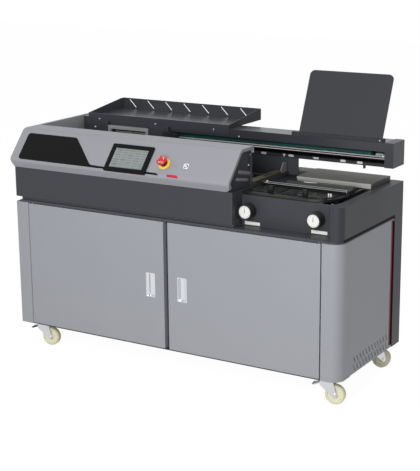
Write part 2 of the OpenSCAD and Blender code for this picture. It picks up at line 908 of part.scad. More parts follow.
// Open-topped tub of the left housing, with the dark end cheek under the cover
module upper_housing() {
    wall_y = cover_rim_y - rim_drop / 2;
    cheek_out = inset_path(cover_out, cover_t + 5);
    color(charcoal) on_cabinet() difference() {
        union() {
            difference() {
                translate([0, 0, z_house]) linear_extrude(house_h) round_rect(x_left, house_x, 0, cab_d, 6);
                translate([0, 0, z_house + sheet_t]) linear_extrude(house_h)
                    round_rect(x_left + sheet_t, house_x - sheet_t, sheet_t, cab_d - sheet_t, 4);
            }
            span(x_left + cheek_t + air, house_x - sheet_t, wall_y, wall_y + sheet_t,
                z_house, cover_z1 - rim_drop);
            along_x(house_x - end_frame, house_x - end_frame + sheet_t) intersection() {
                polygon(concat(cheek_out, [[cover_rim_y, z_house], [sheet_t, z_house]]));
                translate([0, z_house]) square([wall_y + sheet_t, cover_z1]);
            }
        }
        span(x_left + 90, house_x - 90, 60, wall_y - 30, z_house - 1, z_house + sheet_t + 1);
        translate([cutter_x, chute_y, z_house - 1]) linear_extrude(sheet_t + 2)
            square(chute_w + 2 * air, center = true);
    }
}

// Moulded cover: nose, control slope, flat rim, left cheek and right end frame
module control_cover() {
    rim = [cover_rim_y, cover_z1 - rim_drop];
    rim_in = [cover_rim_y - cover_t, cover_z1 - rim_drop];
    end_in = inset_path(cover_out, end_frame);
    side = concat(cover_out, [[cab_d, cover_z1], [cab_d, z_table]]);
    color(cover_grey) on_cabinet() difference() {
        union() {
            along_x(x_left + cheek_t, house_x) polygon(concat(
                cover_out, [rim, rim_in, rim_in + [0, rim_drop - cover_t]],
                flip([for (i = [0:len(cover_in) - 2]) cover_in[i]])
            ));
            along_x(x_left, x_left + cheek_t) polygon(side);
            along_x(house_x - end_frame + sheet_t + gap, house_x)
                polygon(concat(cover_out, flip(end_in)));
        }
        along_y(cover_front - 1, cab_d / 4) difference() {
            translate([house_x - corner_r, z_table - 1]) square([corner_r + 1, corner_r + 1]);
            translate([house_x - corner_r, z_table + corner_r]) circle(corner_r);
        }
        on_slope(hmi_x, hmi_h / 2 - hmi_low)
            cube([hmi_w - 2 * hmi_edge + gap, hmi_h - 2 * hmi_edge + gap, 3 * cover_t], center = true);
        on_slope(estop_x, estop_up) cylinder(h = 3 * cover_t, d = estop_d - 18, center = true);
        on_slope(reset_x, reset_up) cylinder(h = 3 * cover_t, d = reset_d - 4, center = true);
    }
}

// Operator panel: bezel with a recessed screen and a body behind the slope
module hmi_panel() {
    w = hmi_w / 2;
    h = hmi_h / 2;
    color(black) on_cabinet() on_slope(hmi_x, h - hmi_low) difference() {
        union() {
            linear_extrude(hmi_t) round_rect(-w, w, -h, h, 4);
            translate([hmi_edge - w, hmi_edge - h, -30]) cube([2 * (w - hmi_edge), 2 * (h - hmi_edge), 31]);
        }
        translate([20 - w, 18 - h, hmi_t - 1]) cube([2 * w - 40, 2 * h - 36, 2]);
    }
}

// Collars and contact bodies of the stop button and the reset button
module switch_bodies() {
    stem = estop_d - 18 - gap;
    neck = reset_d - 4 - gap;
    color(dark_steel) on_cabinet() {
        on_slope(estop_x, estop_up) difference() {
            union() {
                cylinder(h = 10, d = estop_d - 12);
                translate([0, 0, -12]) cylinder(h = 13, d = stem);
                translate([-15, -20, -46]) cube([30, 40, 46 - cover_t - gap]);
            }
            translate([0, 0, -36]) cylinder(h = 60, d = 10 + 2 * run_clear);
        }
        on_slope(reset_x, reset_up) difference() {
            union() {
                cylinder(h = 3, d = reset_d);
                translate([0, 0, -12]) cylinder(h = 13, d = neck);
                translate([-12, -15, -34]) cube([24, 30, 34 - cover_t - gap]);
            }
            translate([0, 0, -25]) cylinder(h = 40, d = reset_d - 8);
        }
    }
}

// Stop button's plunger, which slides in its collar
module estop_plunger() {
    color(dark_steel) on_cabinet() on_slope(estop_x, estop_up)
        translate([0, 0, estop_travel - 34]) cylinder(h = 54, d = 10);
}

// Red mushroom cap, which turns on the plunger to let it out
module estop_cap() {
    r = estop_d / 2;
    z0 = 10 + estop_travel + 1;
    color(red) on_cabinet() on_slope(estop_x, estop_up) rotate_extrude() polygon(concat(
        [[5 + run_clear, z0], [r - 8, z0], [r - 4, z0 + 4], [r, z0 + 6], [r, z0 + 11]],
        [for (a = [10:10:90]) [r * cos(a), z0 + 11 + 7 * sin(a)]],
        [[0, z0 + 12], [5 + run_clear, z0 + 12]]
    ));
}

// Chrome reset button
module reset_button() {
    color(chrome) on_cabinet() on_slope(reset_x, reset_up) {
        translate([0, 0, reset_travel - 22]) cylinder(h = 24, d = reset_d - 8 - 2 * gap);
        translate([0, 0, reset_travel + 2]) cylinder(h = 1, d = reset_d - 11);
    }
}

// ---- Beam and drive ----

// Slotted box beam with a closed left end and the idler's axle
module gantry_beam() {
    color(charcoal) on_cabinet() {
        difference() {
            span(beam_x0, beam_x1, beam_y0, beam_y1, beam_z, beam_top);
            span(beam_x0 + end_plate, beam_x1 + 1, beam_y0 + beam_wall, beam_y1 - beam_wall,
                beam_z + beam_wall, beam_top - beam_wall);
            span(beam_x0 + end_plate, beam_x1 + 1, beam_y0 - 1, beam_y0 + beam_wall + 1, slot_z0, slot_z1);
            translate([drive_x, belt_y, beam_z - 1]) cylinder(h = beam_wall + 2, d = 30);
        }
        translate([idler_x, belt_y, beam_z + 1]) cylinder(h = beam_h - 2, d = 8);
        translate([idler_x, belt_y, beam_z + 1]) cylinder(h = belt_z - beam_z - 3 - 2 * gap, d = 14);
    }
}

// Folded box that closes the beam's right end
module beam_end_box() {
    lap = 2;
    color(charcoal) on_cabinet() difference() {
        span(beam_x1, x_right, beam_y0 - lap, beam_y1 + lap, beam_z - lap, beam_top + lap);
        span(beam_x1 + 3, x_right - 3, beam_y0 + lap, beam_y1 - lap, beam_z + lap, beam_top - lap);
        span(beam_x1 - 1, beam_x1 + 4, beam_y0 + 40, beam_y1 - 20, beam_z + 20, beam_top - 20);
    }
}

// Two ground rods between the beam's ends
module guide_rods() {
    color(chrome) on_cabinet() for (y = [rod_y0, rod_y1])
        bar_x(beam_x0 + end_plate, beam_x1, y, rod_z, rod_d);
}

// Flat belt on edge, round the two pulleys
module drive_belt() {
    l = idler_x - drive_x;
    color(teal) on_cabinet() translate([(idler_x + drive_x) / 2, belt_y, belt_z]) linear_extrude(belt_w)
        difference() {
            stadium(l, belt_r + belt_t);
            stadium(l, belt_r);
        }
}

module pulley() {
    cylinder(h = belt_w, r = pulley_r);
    for (z = [-2 - gap, belt_w + gap]) translate([0, 0, z]) cylinder(h = 2, r = flange_r);
    translate([0, 0, -gap - 1]) cylinder(h = belt_w + 2 * gap + 2, r = pulley_r - 2);
}

module idler_pulley() {
    color(steel) on_cabinet() translate([idler_x, belt_y, belt_z]) difference() {
        pulley();
        translate([0, 0, -5]) cylinder(h = belt_w + 10, d = 8 + 2 * run_clear);
    }
}

// Drive pulley with the shaft that reaches down into its motor
module drive_pulley() {
    color(steel) on_cabinet() translate([drive_x, belt_y, 0]) {
        translate([0, 0, belt_z]) pulley();
        translate([0, 0, beam_z - 40]) cylinder(h = belt_z - beam_z + 42, d = 10);
    }
}

// Geared motor under the beam's left end
module belt_motor() {
    color(dark_steel) on_cabinet() translate([drive_x, belt_y, beam_z]) difference() {
        union() {
            translate([-28, -24, -motor_h]) cube([56, 48, motor_h - 8]);
            translate([-34, -28, -8]) cube([68, 54, 8]);
        }
        translate([0, 0, -46]) cylinder(h = 60, d = 10 + 2 * run_clear);
    }
}

// Two box columns in the housing that carry the beam, and a screen beside the nip
module beam_pillars() {
    foot_z = z_house + sheet_t;
    color(charcoal) on_cabinet() {
        for (x = [beam_x0 + 6, pillar_x]) difference() {
            span(x, x + pillar_w, pillar_y0, pillar_y1, foot_z, beam_z);
            span(x + pillar_t, x + pillar_w - pillar_t, pillar_y0 + pillar_t, pillar_y1 - pillar_t,
                foot_z - 1, beam_z + 1);
        }
        along_y(pillar_y0, pillar_y0 + pillar_t) polygon([
            [screen_x0, foot_z], [house_x - sheet_t - gap, foot_z], [house_x - sheet_t - gap, z_table + gap],
            [house_x + 1, z_table + gap], [house_x + 1, z_plat], [screen_x1, z_plat],
            [screen_x1, beam_z], [screen_x0, beam_z]
        ]);
    }
}

// ---- Tray and board ----

// Folded tray: floor, tapered sides, slotted rear wall and a flange on the beam's face
module book_tray() {
    side = [
        [tray_y0, beam_top], [tray_y1, beam_top],
        [tray_y1, beam_top + tray_wall_h], [tray_y1 - 24, beam_top + tray_wall_h],
        [tray_y0, beam_top + tray_lip_h]
    ];
    slot_x0 = (tray_x0 + tray_x1) / 2 - 16 - (tray_slots - 1) / 2 * tray_slot_pitch;
    slot_z = beam_top + tray_wall_h / 2 + 1;
    color(charcoal) on_cabinet() {
        span(tray_x0, tray_x1, tray_y0, tray_y1, beam_top, tray_z);
        span(tray_x0, tray_x1, tray_y0, tray_y0 + sheet_t, beam_top - tray_flange, beam_top + tray_lip_h);
        for (x = [tray_x0, tray_x1 - sheet_t]) along_x(x, x + sheet_t) polygon(side);
        difference() {
            span(tray_x0, tray_x1, tray_y1 - sheet_t, tray_y1, beam_top, beam_top + tray_wall_h);
            for (i = [0:tray_slots - 1])
                translate([slot_x0 + i * tray_slot_pitch, 0, slot_z])
                    rotate([0, -45, 0]) along_y(tray_y1 - 5, tray_y1 + 1)
                        square([tray_slot_w, tray_slot_l], center = true);
        }
    }
}

// Places children on the board's seat: y through the board, z up its length
module on_board() {
    translate([board_x, board_seat_y, board_seat_z]) rotate([-board_a, 0, 0]) children();
}

// Leaning board with round upper corners
module support_board() {
    r = 20;
    color(charcoal) on_cabinet() on_board() along_y(-board_t / 2, board_t / 2) {
        square([board_w, board_l - r]);
        translate([r, 0]) square([board_w - 2 * r, board_l]);
        for (x = [r, board_w - r]) translate([x, board_l - r]) circle(r);
    }
}

// Grooved strip on the beam that holds the board's lower edge
module board_holder() {
    x0 = board_x - holder_side - 14;
    x1 = min(board_x + board_w + holder_side - 5, beam_x1);
    color(charcoal) on_cabinet() difference() {
        span(x0, x1, holder_y, holder_y + holder_d, beam_top, beam_top + holder_h);
        on_board() span(0, board_w, -board_t / 2, board_t / 2, 0, 60);
    }
}

// ---- Clamp carriage ----

module bearing_block(x, l) {
    difference() {
        union() {
            span(x, x + l, block_y0, block_y0 + block_plate, bridge_z0, slot_z1 + 20);
            span(x, x + l, block_y0 + block_plate - 1, rod_y1 + rod_r + 3, slot_z0 + 2, slot_z1 - 2);
        }
        for (y = [rod_y0, rod_y1]) bar_x(x - 1, x + l + 1, y, rod_z, rod_d + 2 * run_clear);
    }
}

// Two bearing blocks on the rods; the left one grips the belt
module carriage_blocks() {
    grip_w = 30;
    color(charcoal) on_cabinet() {
        bearing_block(carriage_x, left_block_l);
        span(carriage_x + 75, carriage_x + 75 + grip_w, rod_y1 + rod_r + 2, block_y1,
            belt_z + 2, belt_z + belt_w - 3);
        bearing_block(carriage_x + carriage_l - right_block_l, right_block_l);
    }
}

// Rear jaw casting: bridge, jaw plate, ribs, guide pins, yoke and the rail between the blocks
module rear_clamp_jaw() {
    x1 = carriage_x + carriage_l;
    rail_x0 = carriage_x + left_block_l + gap;
    rail_x1 = x1 - right_block_l - gap;
    rib_pitch = (carriage_l - 58) / 3;
    color(steel) on_cabinet() {
        span(carriage_x, x1, book_y, book_y + jaw_t, jaw_z0, jaw_z1);
        span(carriage_x, x1, book_y + jaw_t, block_y0, bridge_z0, bridge_z0 + bridge_t);
        for (i = [0:3]) {
            x = carriage_x + 24 + i * rib_pitch;
            along_x(x, x + 10) polygon([
                [book_y + jaw_t, jaw_z1 - 6], [book_y + jaw_t + 30, bridge_z0 + bridge_t],
                [book_y + jaw_t, bridge_z0 + bridge_t]
            ]);
        }
        span(rail_x0, rail_x1, block_y0, block_y0 + rail_t, rail_z0, rail_z1);
        for (x = [rail_x0, rail_x1 - rail_t])
            span(x, x + rail_t, block_y0, block_y0 + rail_t, bridge_z0, rail_z0);
        for (x = [carriage_x + jaw_pin_in, x1 - jaw_pin_in]) bar_y(x, yoke_y1, book_y, jaw_pin_z, jaw_pin_d);
        difference() {
            span(carriage_x + 30, x1 - 30, yoke_y0, yoke_y1, jaw_pin_z - 16, jaw_pin_z + 16);
            bar_y((carriage_x + x1) / 2, yoke_y0 - 1, yoke_y1 + 1, jaw_pin_z, jaw_pin_d + 2 * run_clear);
        }
    }
}

// Front jaw, bored for the guide pins, with its pushing screw
module front_clamp_jaw() {
    x1 = carriage_x + carriage_l;
    color(steel) on_cabinet() {
        difference() {
            span(carriage_x, x1, front_jaw_y0, front_jaw_y1, jaw_z0, jaw_z1);
            for (x = [carriage_x + jaw_pin_in, x1 - jaw_pin_in])
                bar_y(x, front_jaw_y0 - 1, front_jaw_y1 + 1, jaw_pin_z, jaw_pin_d + 2 * run_clear);
        }
        bar_y((carriage_x + x1) / 2, yoke_y0 - jaw_screw_out, front_jaw_y0, jaw_pin_z, jaw_pin_d);
    }
}

// ---- Binding stations ----

// Milling motor, open dust hood and waste chute
module milling_unit() {
    color(dark_steel) on_cabinet() translate([cutter_x, spine_y, 0]) {
        difference() {
            union() {
                translate([0, 0, z_house + sheet_t])
                    cylinder(h = cutter_z - air - z_house - sheet_t, d = mill_motor_d);
                translate([0, 0, cutter_z - hood_h / 2]) cylinder(h = 4, r = hood_r);
                translate([0, 0, cutter_z - hood_h / 2]) difference() {
                    cylinder(h = hood_h, r = hood_r + hood_t);
                    translate([0, 0, -1]) cylinder(h = hood_h + 2, r = hood_r);
                }
            }
            translate([0, 0, z_house + 20]) cylinder(h = 200, d = cutter_shaft_d + 2 * run_clear);
            translate([0, hood_r, 0]) span(-chute_w / 2, chute_w / 2, -14, 20, 0, cutter_z + 1);
        }
        translate([0, chute_y - spine_y, 0]) difference() {
            span(-chute_w / 2, chute_w / 2, -chute_w / 2, chute_w / 2, base_t + bin_h + 6, cutter_z + 4);
            span(hood_t - chute_w / 2, chute_w / 2 - hood_t, hood_t - chute_w / 2, chute_w / 2 - hood_t,
                base_t + bin_h, cutter_z + 5);
            translate([0, -hood_r, cutter_z - hood_h]) cylinder(h = 3 * hood_h, r = hood_r);
        }
    }
}

// Disc with a ring of raked teeth
module milling_cutter() {
    r = cutter_d / 2;
    color(steel) on_cabinet() translate([cutter_x, spine_y, cutter_z]) {
        cylinder(h = cutter_t, r = r);
        translate([0, 0, -48]) cylinder(h = 50, d = cutter_shaft_d);
        translate([0, 0, cutter_t - 1]) cylinder(h = 5, d = 36);
        for (i = [0:cutter_teeth - 1]) rotate([0, 0, i * 360 / cutter_teeth])
            translate([r - 14, 0, cutter_t - 1]) rotate([90, 0, 0]) linear_extrude(5)
                polygon([[0, 0], [13, 0], [13, tooth_h + 1], [6, tooth_h + 1]]);
    }
}

// Glue tank: open trough with bearings for the roller and a lip all round
module glue_tank() {
    x0 = tank_x - tank_l / 2;
    x1 = tank_x + tank_l / 2;
    y0 = spine_y - tank_w / 2;
    y1 = spine_y + tank_w / 2;
    color(brass) on_cabinet() difference() {
        union() {
            span(x0, x1, y0, y1, tank_z0 + 12, tank_z1);
            span(x0 - 6, x1 + 6, y0 - 6, y1 + 6, tank_z1 - 8, tank_z1);
            for (x = [x0, x1 - 20]) span(x, x + 20, y0, y1, tank_z0, tank_z0 + 12);
        }
        span(x0 + tank_wall, x1 - tank_wall, y0 + tank_wall, y1 - tank_wall, tank_z0 + 18, tank_z1 + 1);
        bar_y(tank_x, y0 - 7, y1 + 7, roller_z, roller_shaft_d + 2 * run_clear);
    }
}

// Glue roller with its shaft, turning in the tank's end walls
module glue_roller() {
    color(steel) on_cabinet() {
        bar_y(tank_x, spine_y - roller_l / 2, spine_y + roller_l / 2, roller_z, roller_d);
        bar_y(tank_x, spine_y - tank_w / 2 - 8, spine_y + tank_w / 2 + 8, roller_z, roller_shaft_d);
    }
}

// ---- Cover platform ----

// Platform table on two webs, with a round corner, the nip pocket and two slots for the gauge arms
module platform_deck() {
    plat_z0 = z_plat - plat_t;
    wide_y = book_y - 12;
    arm_half = gauge_arm_w / 2 + air;
    web_x1 = plat_step_x - 16;
    web_y0 = panel_y1 + 32;
    color(dark_steel) on_cabinet() {
        difference() {
            union() {
                translate([0, 0, plat_z0]) linear_extrude(plat_t) union() {
                    translate([plat_x0, plat_y0]) square([plat_step_x - plat_r - plat_x0, wide_y - plat_y0]);
                    translate([plat_x0, plat_y0 + plat_r])
                        square([plat_step_x - plat_x0, wide_y - plat_y0 - plat_r]);
                    translate([plat_step_x - plat_r, plat_y0 + plat_r]) circle(plat_r);
                    translate([plat_x0, wide_y]) square([plat_x1 - plat_x0, plat_y1 - wide_y]);
                }
                for (x = [plat_x0, web_x1]) span(x, x + 4, web_y0, pillar_y0 - 4, z_ledge, plat_z0);
            }
            span(nip_x0, nip_front_x1, nip_front_y0 - 4, book_y, z_plat - nip_pocket, z_plat + 1);
            for (x = [knob_x0, knob_x1])
                span(x - arm_half, x + arm_half, gauge_arm_y - gauge_travel - gauge_slot_end,
                    gauge_arm_y + gauge_arm_t + air, plat_z0 - 1, z_plat + 1);
        }
        for (x = [plat_x0 + 1, plat_step_x - lay_block_w - 1]) difference() {
            span(x, x + lay_block_w, lay_y0 - 10, lay_y1 + 10, z_plat, lay_z + lay_rod_d / 2 + 4);
            for (y = [lay_y0, lay_y1]) bar_x(x - 1, x + lay_block_w + 1, y, lay_z, lay_rod_d);
        }
    }
}

// Fixed rear jaw, with a lower wing on its left behind the screen
module rear_nip_jaw() {
    color(steel) on_cabinet() {
        along_x(nip_x0, nip_x1) polygon([
            [book_y, z_plat], [book_y + nip_d, z_plat], [book_y + nip_d, z_plat + nip_h - 3],
            [book_y + nip_d - 3, z_plat + nip_h], [book_y + 3, z_plat + nip_h], [book_y, z_plat + nip_h - 3]
        ]);
        span(plat_x0 + 9, nip_x0, pillar_y0 + pillar_t + air, book_y + nip_d, z_plat, z_plat + nip_h - 3);
    }
}

// Sliding front jaw, which runs in the pocket
module front_nip_jaw() {
    color(dark_steel) on_cabinet() along_x(nip_x0 + 1, nip_front_x1 - 1) polygon([
        [nip_front_y0, z_plat - nip_pocket + gap], [nip_front_y1, z_plat - nip_pocket + gap],
        [nip_front_y1, z_plat + nip_h - 6], [nip_front_y1 - 3, z_plat + nip_h - 3],
        [nip_front_y0 + 12, z_plat + nip_h - 3], [nip_front_y0, z_plat + 2]
    ]);
}

// Two ground rods that carry the cover across the platform
module lay_rods() {
    color(chrome) on_cabinet() for (y = [lay_y0, lay_y1])
        bar_x(plat_x0 + 1, plat_step_x - 1, y, lay_z, lay_rod_d);
}

// Upright panel behind the ledge, with a bearing for each knob
module knob_panel() {
    bearing = 12;
    color(charcoal) on_cabinet() difference() {
        union() {
            span(house_x, column_x, panel_in, panel_y1, z_ledge, panel_z1);
            for (x = [knob_x0, knob_x1]) bar_y(x, panel_y1 - 1, panel_y1 + bearing, knob_h, 22);
        }
        for (x = [knob_x0, knob_x1])
            bar_y(x, panel_in - 1, panel_y1 + bearing + 1, knob_h, knob_shaft_d + 2 * run_clear);
    }
}

// Fluted knob with a raised dial rim; its shaft carries the gauge's screw
module knob(x) {
    r = knob_d / 2;
    flutes = 24;
    color(black) on_cabinet() {
        difference() {
            bar_y(x, panel_in - knob_l, panel_in - gap, knob_h, knob_d);
            bar_y(x, panel_in - knob_l - 1, panel_in - knob_l + 3, knob_h, knob_d - 9);
            for (i = [0:flutes - 1])
                bar_y(x + (r + 0.8) * cos(i * 360 / flutes), panel_in - knob_l - 1, panel_in - 12,
                    knob_h + (r + 0.8) * sin(i * 360 / flutes), 4);
        }
        bar_y(x, panel_in - 4, panel_y1 + 14, knob_h, knob_shaft_d);
        bar_y(x, panel_y1 + 13, gauge_arm_y + gauge_arm_t + 16, knob_h, screw_d);
    }
}

module knob_left() {
    knob(knob_x0);
}

module knob_right() {
    knob(knob_x1);
}

// Cover gauge: plate with a round corner, upright stop and the arm down to its nut
module gauge(x0, x1, knob_x, stop_x, r) {
    z0 = z_plat + gap;
    color(dark_steel) on_cabinet() difference() {
        union() {
            span(x0, x1 - r, gauge_y0, gauge_y1, z0, z0 + gauge_t);
            intersection() {
                span(x0, x1, gauge_y0, gauge_y1, z0, z0 + gauge_t);
                union() {
                    translate([x1 - r, gauge_y0 + r, z0]) cylinder(h = gauge_t, r = r);
                    span(x0, x1, gauge_y0 + r, cab_d, z0, z0 + gauge_t);
                }
            }
            span(stop_x, stop_x + 20, gauge_y0 + 12, gauge_y0 + 20, z0, z0 + 24);
            span(knob_x - gauge_arm_w / 2, knob_x + gauge_arm_w / 2, gauge_arm_y, gauge_arm_y + gauge_arm_t,
                knob_h - 14, z0 + gauge_t);
        }
        bar_y(knob_x, gauge_arm_y - 1, gauge_arm_y + gauge_arm_t + 1, knob_h, screw_d + 2 * run_clear);
    }
}

module gauge_left() {
    gauge(plat_x0 + gauge_left_in, gauge_split - gauge_gap / 2, knob_x0, gauge_split - stop_left_in, 12);
}

module gauge_right() {
    gauge(gauge_split + gauge_gap / 2, plat_step_x - gauge_right_in, knob_x1,
        gauge_split + stop_right_in, plat_r / 2);
}

// ---- Right side ----

// Corner column and L-shaped side cover, folded from sheet
module side_cover() {
    band_x = plat_x1 + 1;
    rear_y = cab_d - band_w;
    rear_x = x_right - 18;
    r = 30;
    fold_r = 14;
    lap_z = z_ledge - 4;
    side = round_loop(
        [[r, lap_z], [r, z_plat], [cab_d, z_plat], [cab_d, 0], [rear_y, 0], [rear_y, lap_z]],
        [0, 0, 0, 0, 0, fold_r]
    );
    color(charcoal) on_cabinet() {
        difference() {
            translate([0, 0, z_ledge]) linear_extrude(z_plat - z_ledge) {
                translate([column_x, 0]) square([column_w - r, panel_y1]);
                translate([x_right - r, r]) circle(r);
                translate([x_right - r, r]) square([r, panel_y1 - r]);
            }
            translate([0, 0, z_ledge - 1]) linear_extrude(z_plat - z_ledge + 1 - sheet_t) {
                translate([column_x + sheet_t, sheet_t])
                    square([column_w - sheet_t - r, panel_in - sheet_t]);
                translate([x_right - r, r]) circle(r - sheet_t);
                translate([x_right - r, r]) square([r - sheet_t, panel_in - r]);
            }
        }
        span(band_x, x_right, panel_y1, cab_d, z_plat - sheet_t, z_plat);
        span(band_x, band_x + sheet_t, panel_y1, cab_d, z_ledge, z_plat);
        difference() {
            along_x(rear_x, x_right) polygon(side);
            span(rear_x - 1, x_right - sheet_t, r - 1, cab_d - sheet_t, lap_z - 1, z_plat - sheet_t);
            span(rear_x - 1, x_right - sheet_t, rear_y - fold_r - 1, cab_d - sheet_t,
                lap_z - fold_r - 1, z_plat - sheet_t);
            span(rear_x - 1, x_right - sheet_t, rear_y + sheet_t, cab_d - sheet_t, -1, z_plat - sheet_t);
            span(rear_x - 1, x_right - sheet_t, rear_y - 1, cab_d - sheet_t, -1, base_t);
        }
    }
}

// Red strip in the joint between the side panel and the rear band
module red_trim() {
    y1 = cab_d - band_w - gap;
    color(red) on_cabinet() span(x_right - 6, x_right - 0.5, y1 - trim_t, y1, base_t, z_ledge - 16);
}

// ---- Placement of every node ----

base_frame();
left_side_panel();
right_post();
right_side_panel();
rear_panel();
top_deck();
upper_housing();
control_cover();
hmi_panel();
switch_bodies();
gantry_beam();
beam_end_box();
guide_rods();
drive_belt();
belt_motor();
beam_pillars();
book_tray();
support_board();
board_holder();
platform_deck();
rear_nip_jaw();
knob_panel();
lay_rods();
side_cover();
red_trim();
hinge_pins();
milling_unit();
glue_tank();
castor_plates();
dust_bin();
electrical_box();
door_left();
door_right();
pull_left();
pull_right();
estop_plunger();
estop_cap();
reset_button();
carriage_blocks();
rear_clamp_jaw();
front_clamp_jaw();
drive_pulley();
idler_pulley();
milling_cutter();
glue_roller();
front_nip_jaw();
knob_left();
knob_right();
gauge_left();
gauge_right();
fork_front_left();
fork_front_right();
fork_rear_left();
fork_rear_right();
wheel_front_left();
wheel_front_right();
wheel_rear_left();
wheel_rear_right();
pedal_left();
pedal_right();
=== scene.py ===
import json
import math

import bmesh
import bpy
from mathutils import Matrix, Vector


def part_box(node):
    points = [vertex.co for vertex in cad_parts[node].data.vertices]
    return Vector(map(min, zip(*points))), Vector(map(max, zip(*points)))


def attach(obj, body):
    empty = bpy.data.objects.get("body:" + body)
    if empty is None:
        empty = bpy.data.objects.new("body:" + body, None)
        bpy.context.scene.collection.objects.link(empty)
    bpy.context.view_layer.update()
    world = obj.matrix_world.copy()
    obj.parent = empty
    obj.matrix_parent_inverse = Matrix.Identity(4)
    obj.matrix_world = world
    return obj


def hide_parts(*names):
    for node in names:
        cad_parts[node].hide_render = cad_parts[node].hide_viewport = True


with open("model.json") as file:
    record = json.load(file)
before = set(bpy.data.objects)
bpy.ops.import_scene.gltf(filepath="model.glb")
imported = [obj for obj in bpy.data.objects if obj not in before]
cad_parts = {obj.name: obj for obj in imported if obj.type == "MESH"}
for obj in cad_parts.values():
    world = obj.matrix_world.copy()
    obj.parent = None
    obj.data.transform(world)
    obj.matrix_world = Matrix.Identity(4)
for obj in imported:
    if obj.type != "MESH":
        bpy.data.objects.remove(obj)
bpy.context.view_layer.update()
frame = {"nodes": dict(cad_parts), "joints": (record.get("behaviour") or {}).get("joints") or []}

nodes = frame["nodes"]

# ---- Lower cabinet: posts, panels and base pan ----
# Folded sheet steel, powder coated in a satin light grey; the base pan and the plates above
# it are charcoal. The coat has a fine orange peel, and dust dulls it a little near the floor.


class Wire:
    """A shader socket that can be used in arithmetic."""

    def __init__(self, finish, socket):
        self.finish = finish
        self.socket = socket

    def _math(self, operation, first, second):
        return self.finish.node("ShaderNodeMath", {"operation": operation}, {0: first, 1: second})

    def __add__(self, other):
        return self._math("ADD", self, other)

    def __sub__(self, other):
        return self._math("SUBTRACT", self, other)

    def __rsub__(self, other):
        return self._math("SUBTRACT", other, self)

    def __mul__(self, other):
        return self._math("MULTIPLY", self, other)

    def __gt__(self, other):
        return self._math("GREATER_THAN", self, other)


class Finish:
    """A surface finish: one material with its main shader and the nodes that feed it."""

    def __init__(self, name, **uniform):
        self.material = bpy.data.materials.new(name)
        self.material.use_nodes = True
        self.tree = self.material.node_tree
        self.shader = self.tree.nodes["Principled BSDF"]
        for socket, value in uniform.items():
            self.shader.inputs[socket.replace("_", " ")].default_value = value

    def node(self, kind, settings=None, sockets=None, out=0):
        made = self.tree.nodes.new(kind)
        for key, value in (settings or {}).items():
            setattr(made, key, value)
        for key, value in (sockets or {}).items():
            if isinstance(value, Wire):
                self.tree.links.new(value.socket, made.inputs[key])
            else:
                made.inputs[key].default_value = value
        return Wire(self, made.outputs[out])

    def feed(self, socket, wire):
        self.tree.links.new(wire.socket, self.shader.inputs[socket])

    def place(self):
        return self.node("ShaderNodeTexCoord", out=3)

    def noise(self, scale, detail, stretch=None):
        spot = self.place()
        if stretch:
            spot = self.node("ShaderNodeMapping", {}, {"Vector": spot, "Scale": stretch})
        return self.node("ShaderNodeTexNoise", {}, {"Vector": spot, "Scale": scale, "Detail": detail})

    def coordinate(self, axis):
        return self.node("ShaderNodeSeparateXYZ", {}, {0: self.place()}, out="XYZ".index(axis))

    def ramp(self, value, start, end, low=0.0, high=1.0, curve="LINEAR"):
        """Maps start..end of a value to low..high."""
        return self.node("ShaderNodeMapRange", {"interpolation_type": curve}, {
            0: value, 1: start, 2: end, 3: low, 4: high})

    def blend(self, share, first, second):
        return self.node("ShaderNodeMix", {"data_type": "RGBA"}, {0: share, 6: first, 7: second}, out=2)

    def relief(self, height, depth, distance=0.001):
        self.feed("Normal", self.node(
            "ShaderNodeBump", {}, {"Strength": depth, "Distance": distance, "Height": height}))


def tone(red, green, blue):
    """A colour given as 0 to 255 display values."""
    levels = (c / 255 for c in (red, green, blue))
    return tuple(c / 12.92 if c < 0.0405 else ((c + 0.055) / 1.055) ** 2.4 for c in levels) + (1.0,)


def shade(colour, factor):
    return tuple(min(1.0, c * factor) for c in colour[:3]) + (1.0,)


def powder_coat(name, colour, roughness, grain=1.0, specular=0.32, painted_shade=None):
    coat = Finish(name, Roughness=roughness, Specular_IOR_Level=specular)
    cloud = coat.noise(3.0, 3.0)
    fleck = coat.noise(1400.0, 1.0)
    dust = coat.ramp(coat.coordinate("Z"), 0.10, 0.32, 1.0, 0.0)
    base = coat.blend(cloud, shade(colour, 0.965), shade(colour, 1.035))
    speckled = coat.blend(fleck * (0.10 * grain), base, shade(colour, 0.72))
    dust_and_shade = coat.blend(dust * cloud * 0.10, speckled, tone(176, 170, 158))
    dulled = cloud * 0.10 + fleck * 0.05 + (roughness - 0.06)
    # Optional painted shade: the mask paints the coat near black, and rougher, where shade falls.
    if painted_shade:
        shade_here = painted_shade(coat)
        dust_and_shade = coat.blend(shade_here, dust_and_shade, tone(9, 9, 11))
        dulled = dulled + shade_here * 0.5
    coat.feed("Base Color", dust_and_shade)
    coat.feed("Roughness", dulled)
    coat.relief(fleck, 0.10 * grain, 0.0004)
    return coat.material


def dress(finish, *names):
    """Gives carried-over nodes their finish."""
    for name in names:
        slots = nodes[name].data.materials
        slots.clear()
        slots.append(finish)


light_coat = powder_coat("light_grey_coat", tone(152, 154, 160), 0.42, 1.0, 0.45)
charcoal_coat = powder_coat("charcoal_coat", tone(56, 57, 62), 0.40, 1.4)
dress(light_coat, "left_side_panel", "right_post", "rear_panel", "electrical_box")
dress(charcoal_coat, "base_frame")

# Places are given in millimetres from the cabinet's own origin: the middle of its width, the
# door faces and its underside.
door_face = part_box("door_left")[0].y
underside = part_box("base_frame")[0].z


def at(x, y, z):
    """A point given in millimetres from the cabinet's own origin."""
    return Vector((x / 1000, door_face + y / 1000, underside + z / 1000))


# ---- Right side: vented panel, red strip and L-shaped side cover ----
# A darker grey sheet with two rows of slanted slots punched low down; the charcoal side
# cover is folded round the corner column, and a red painted strip fills the joint.

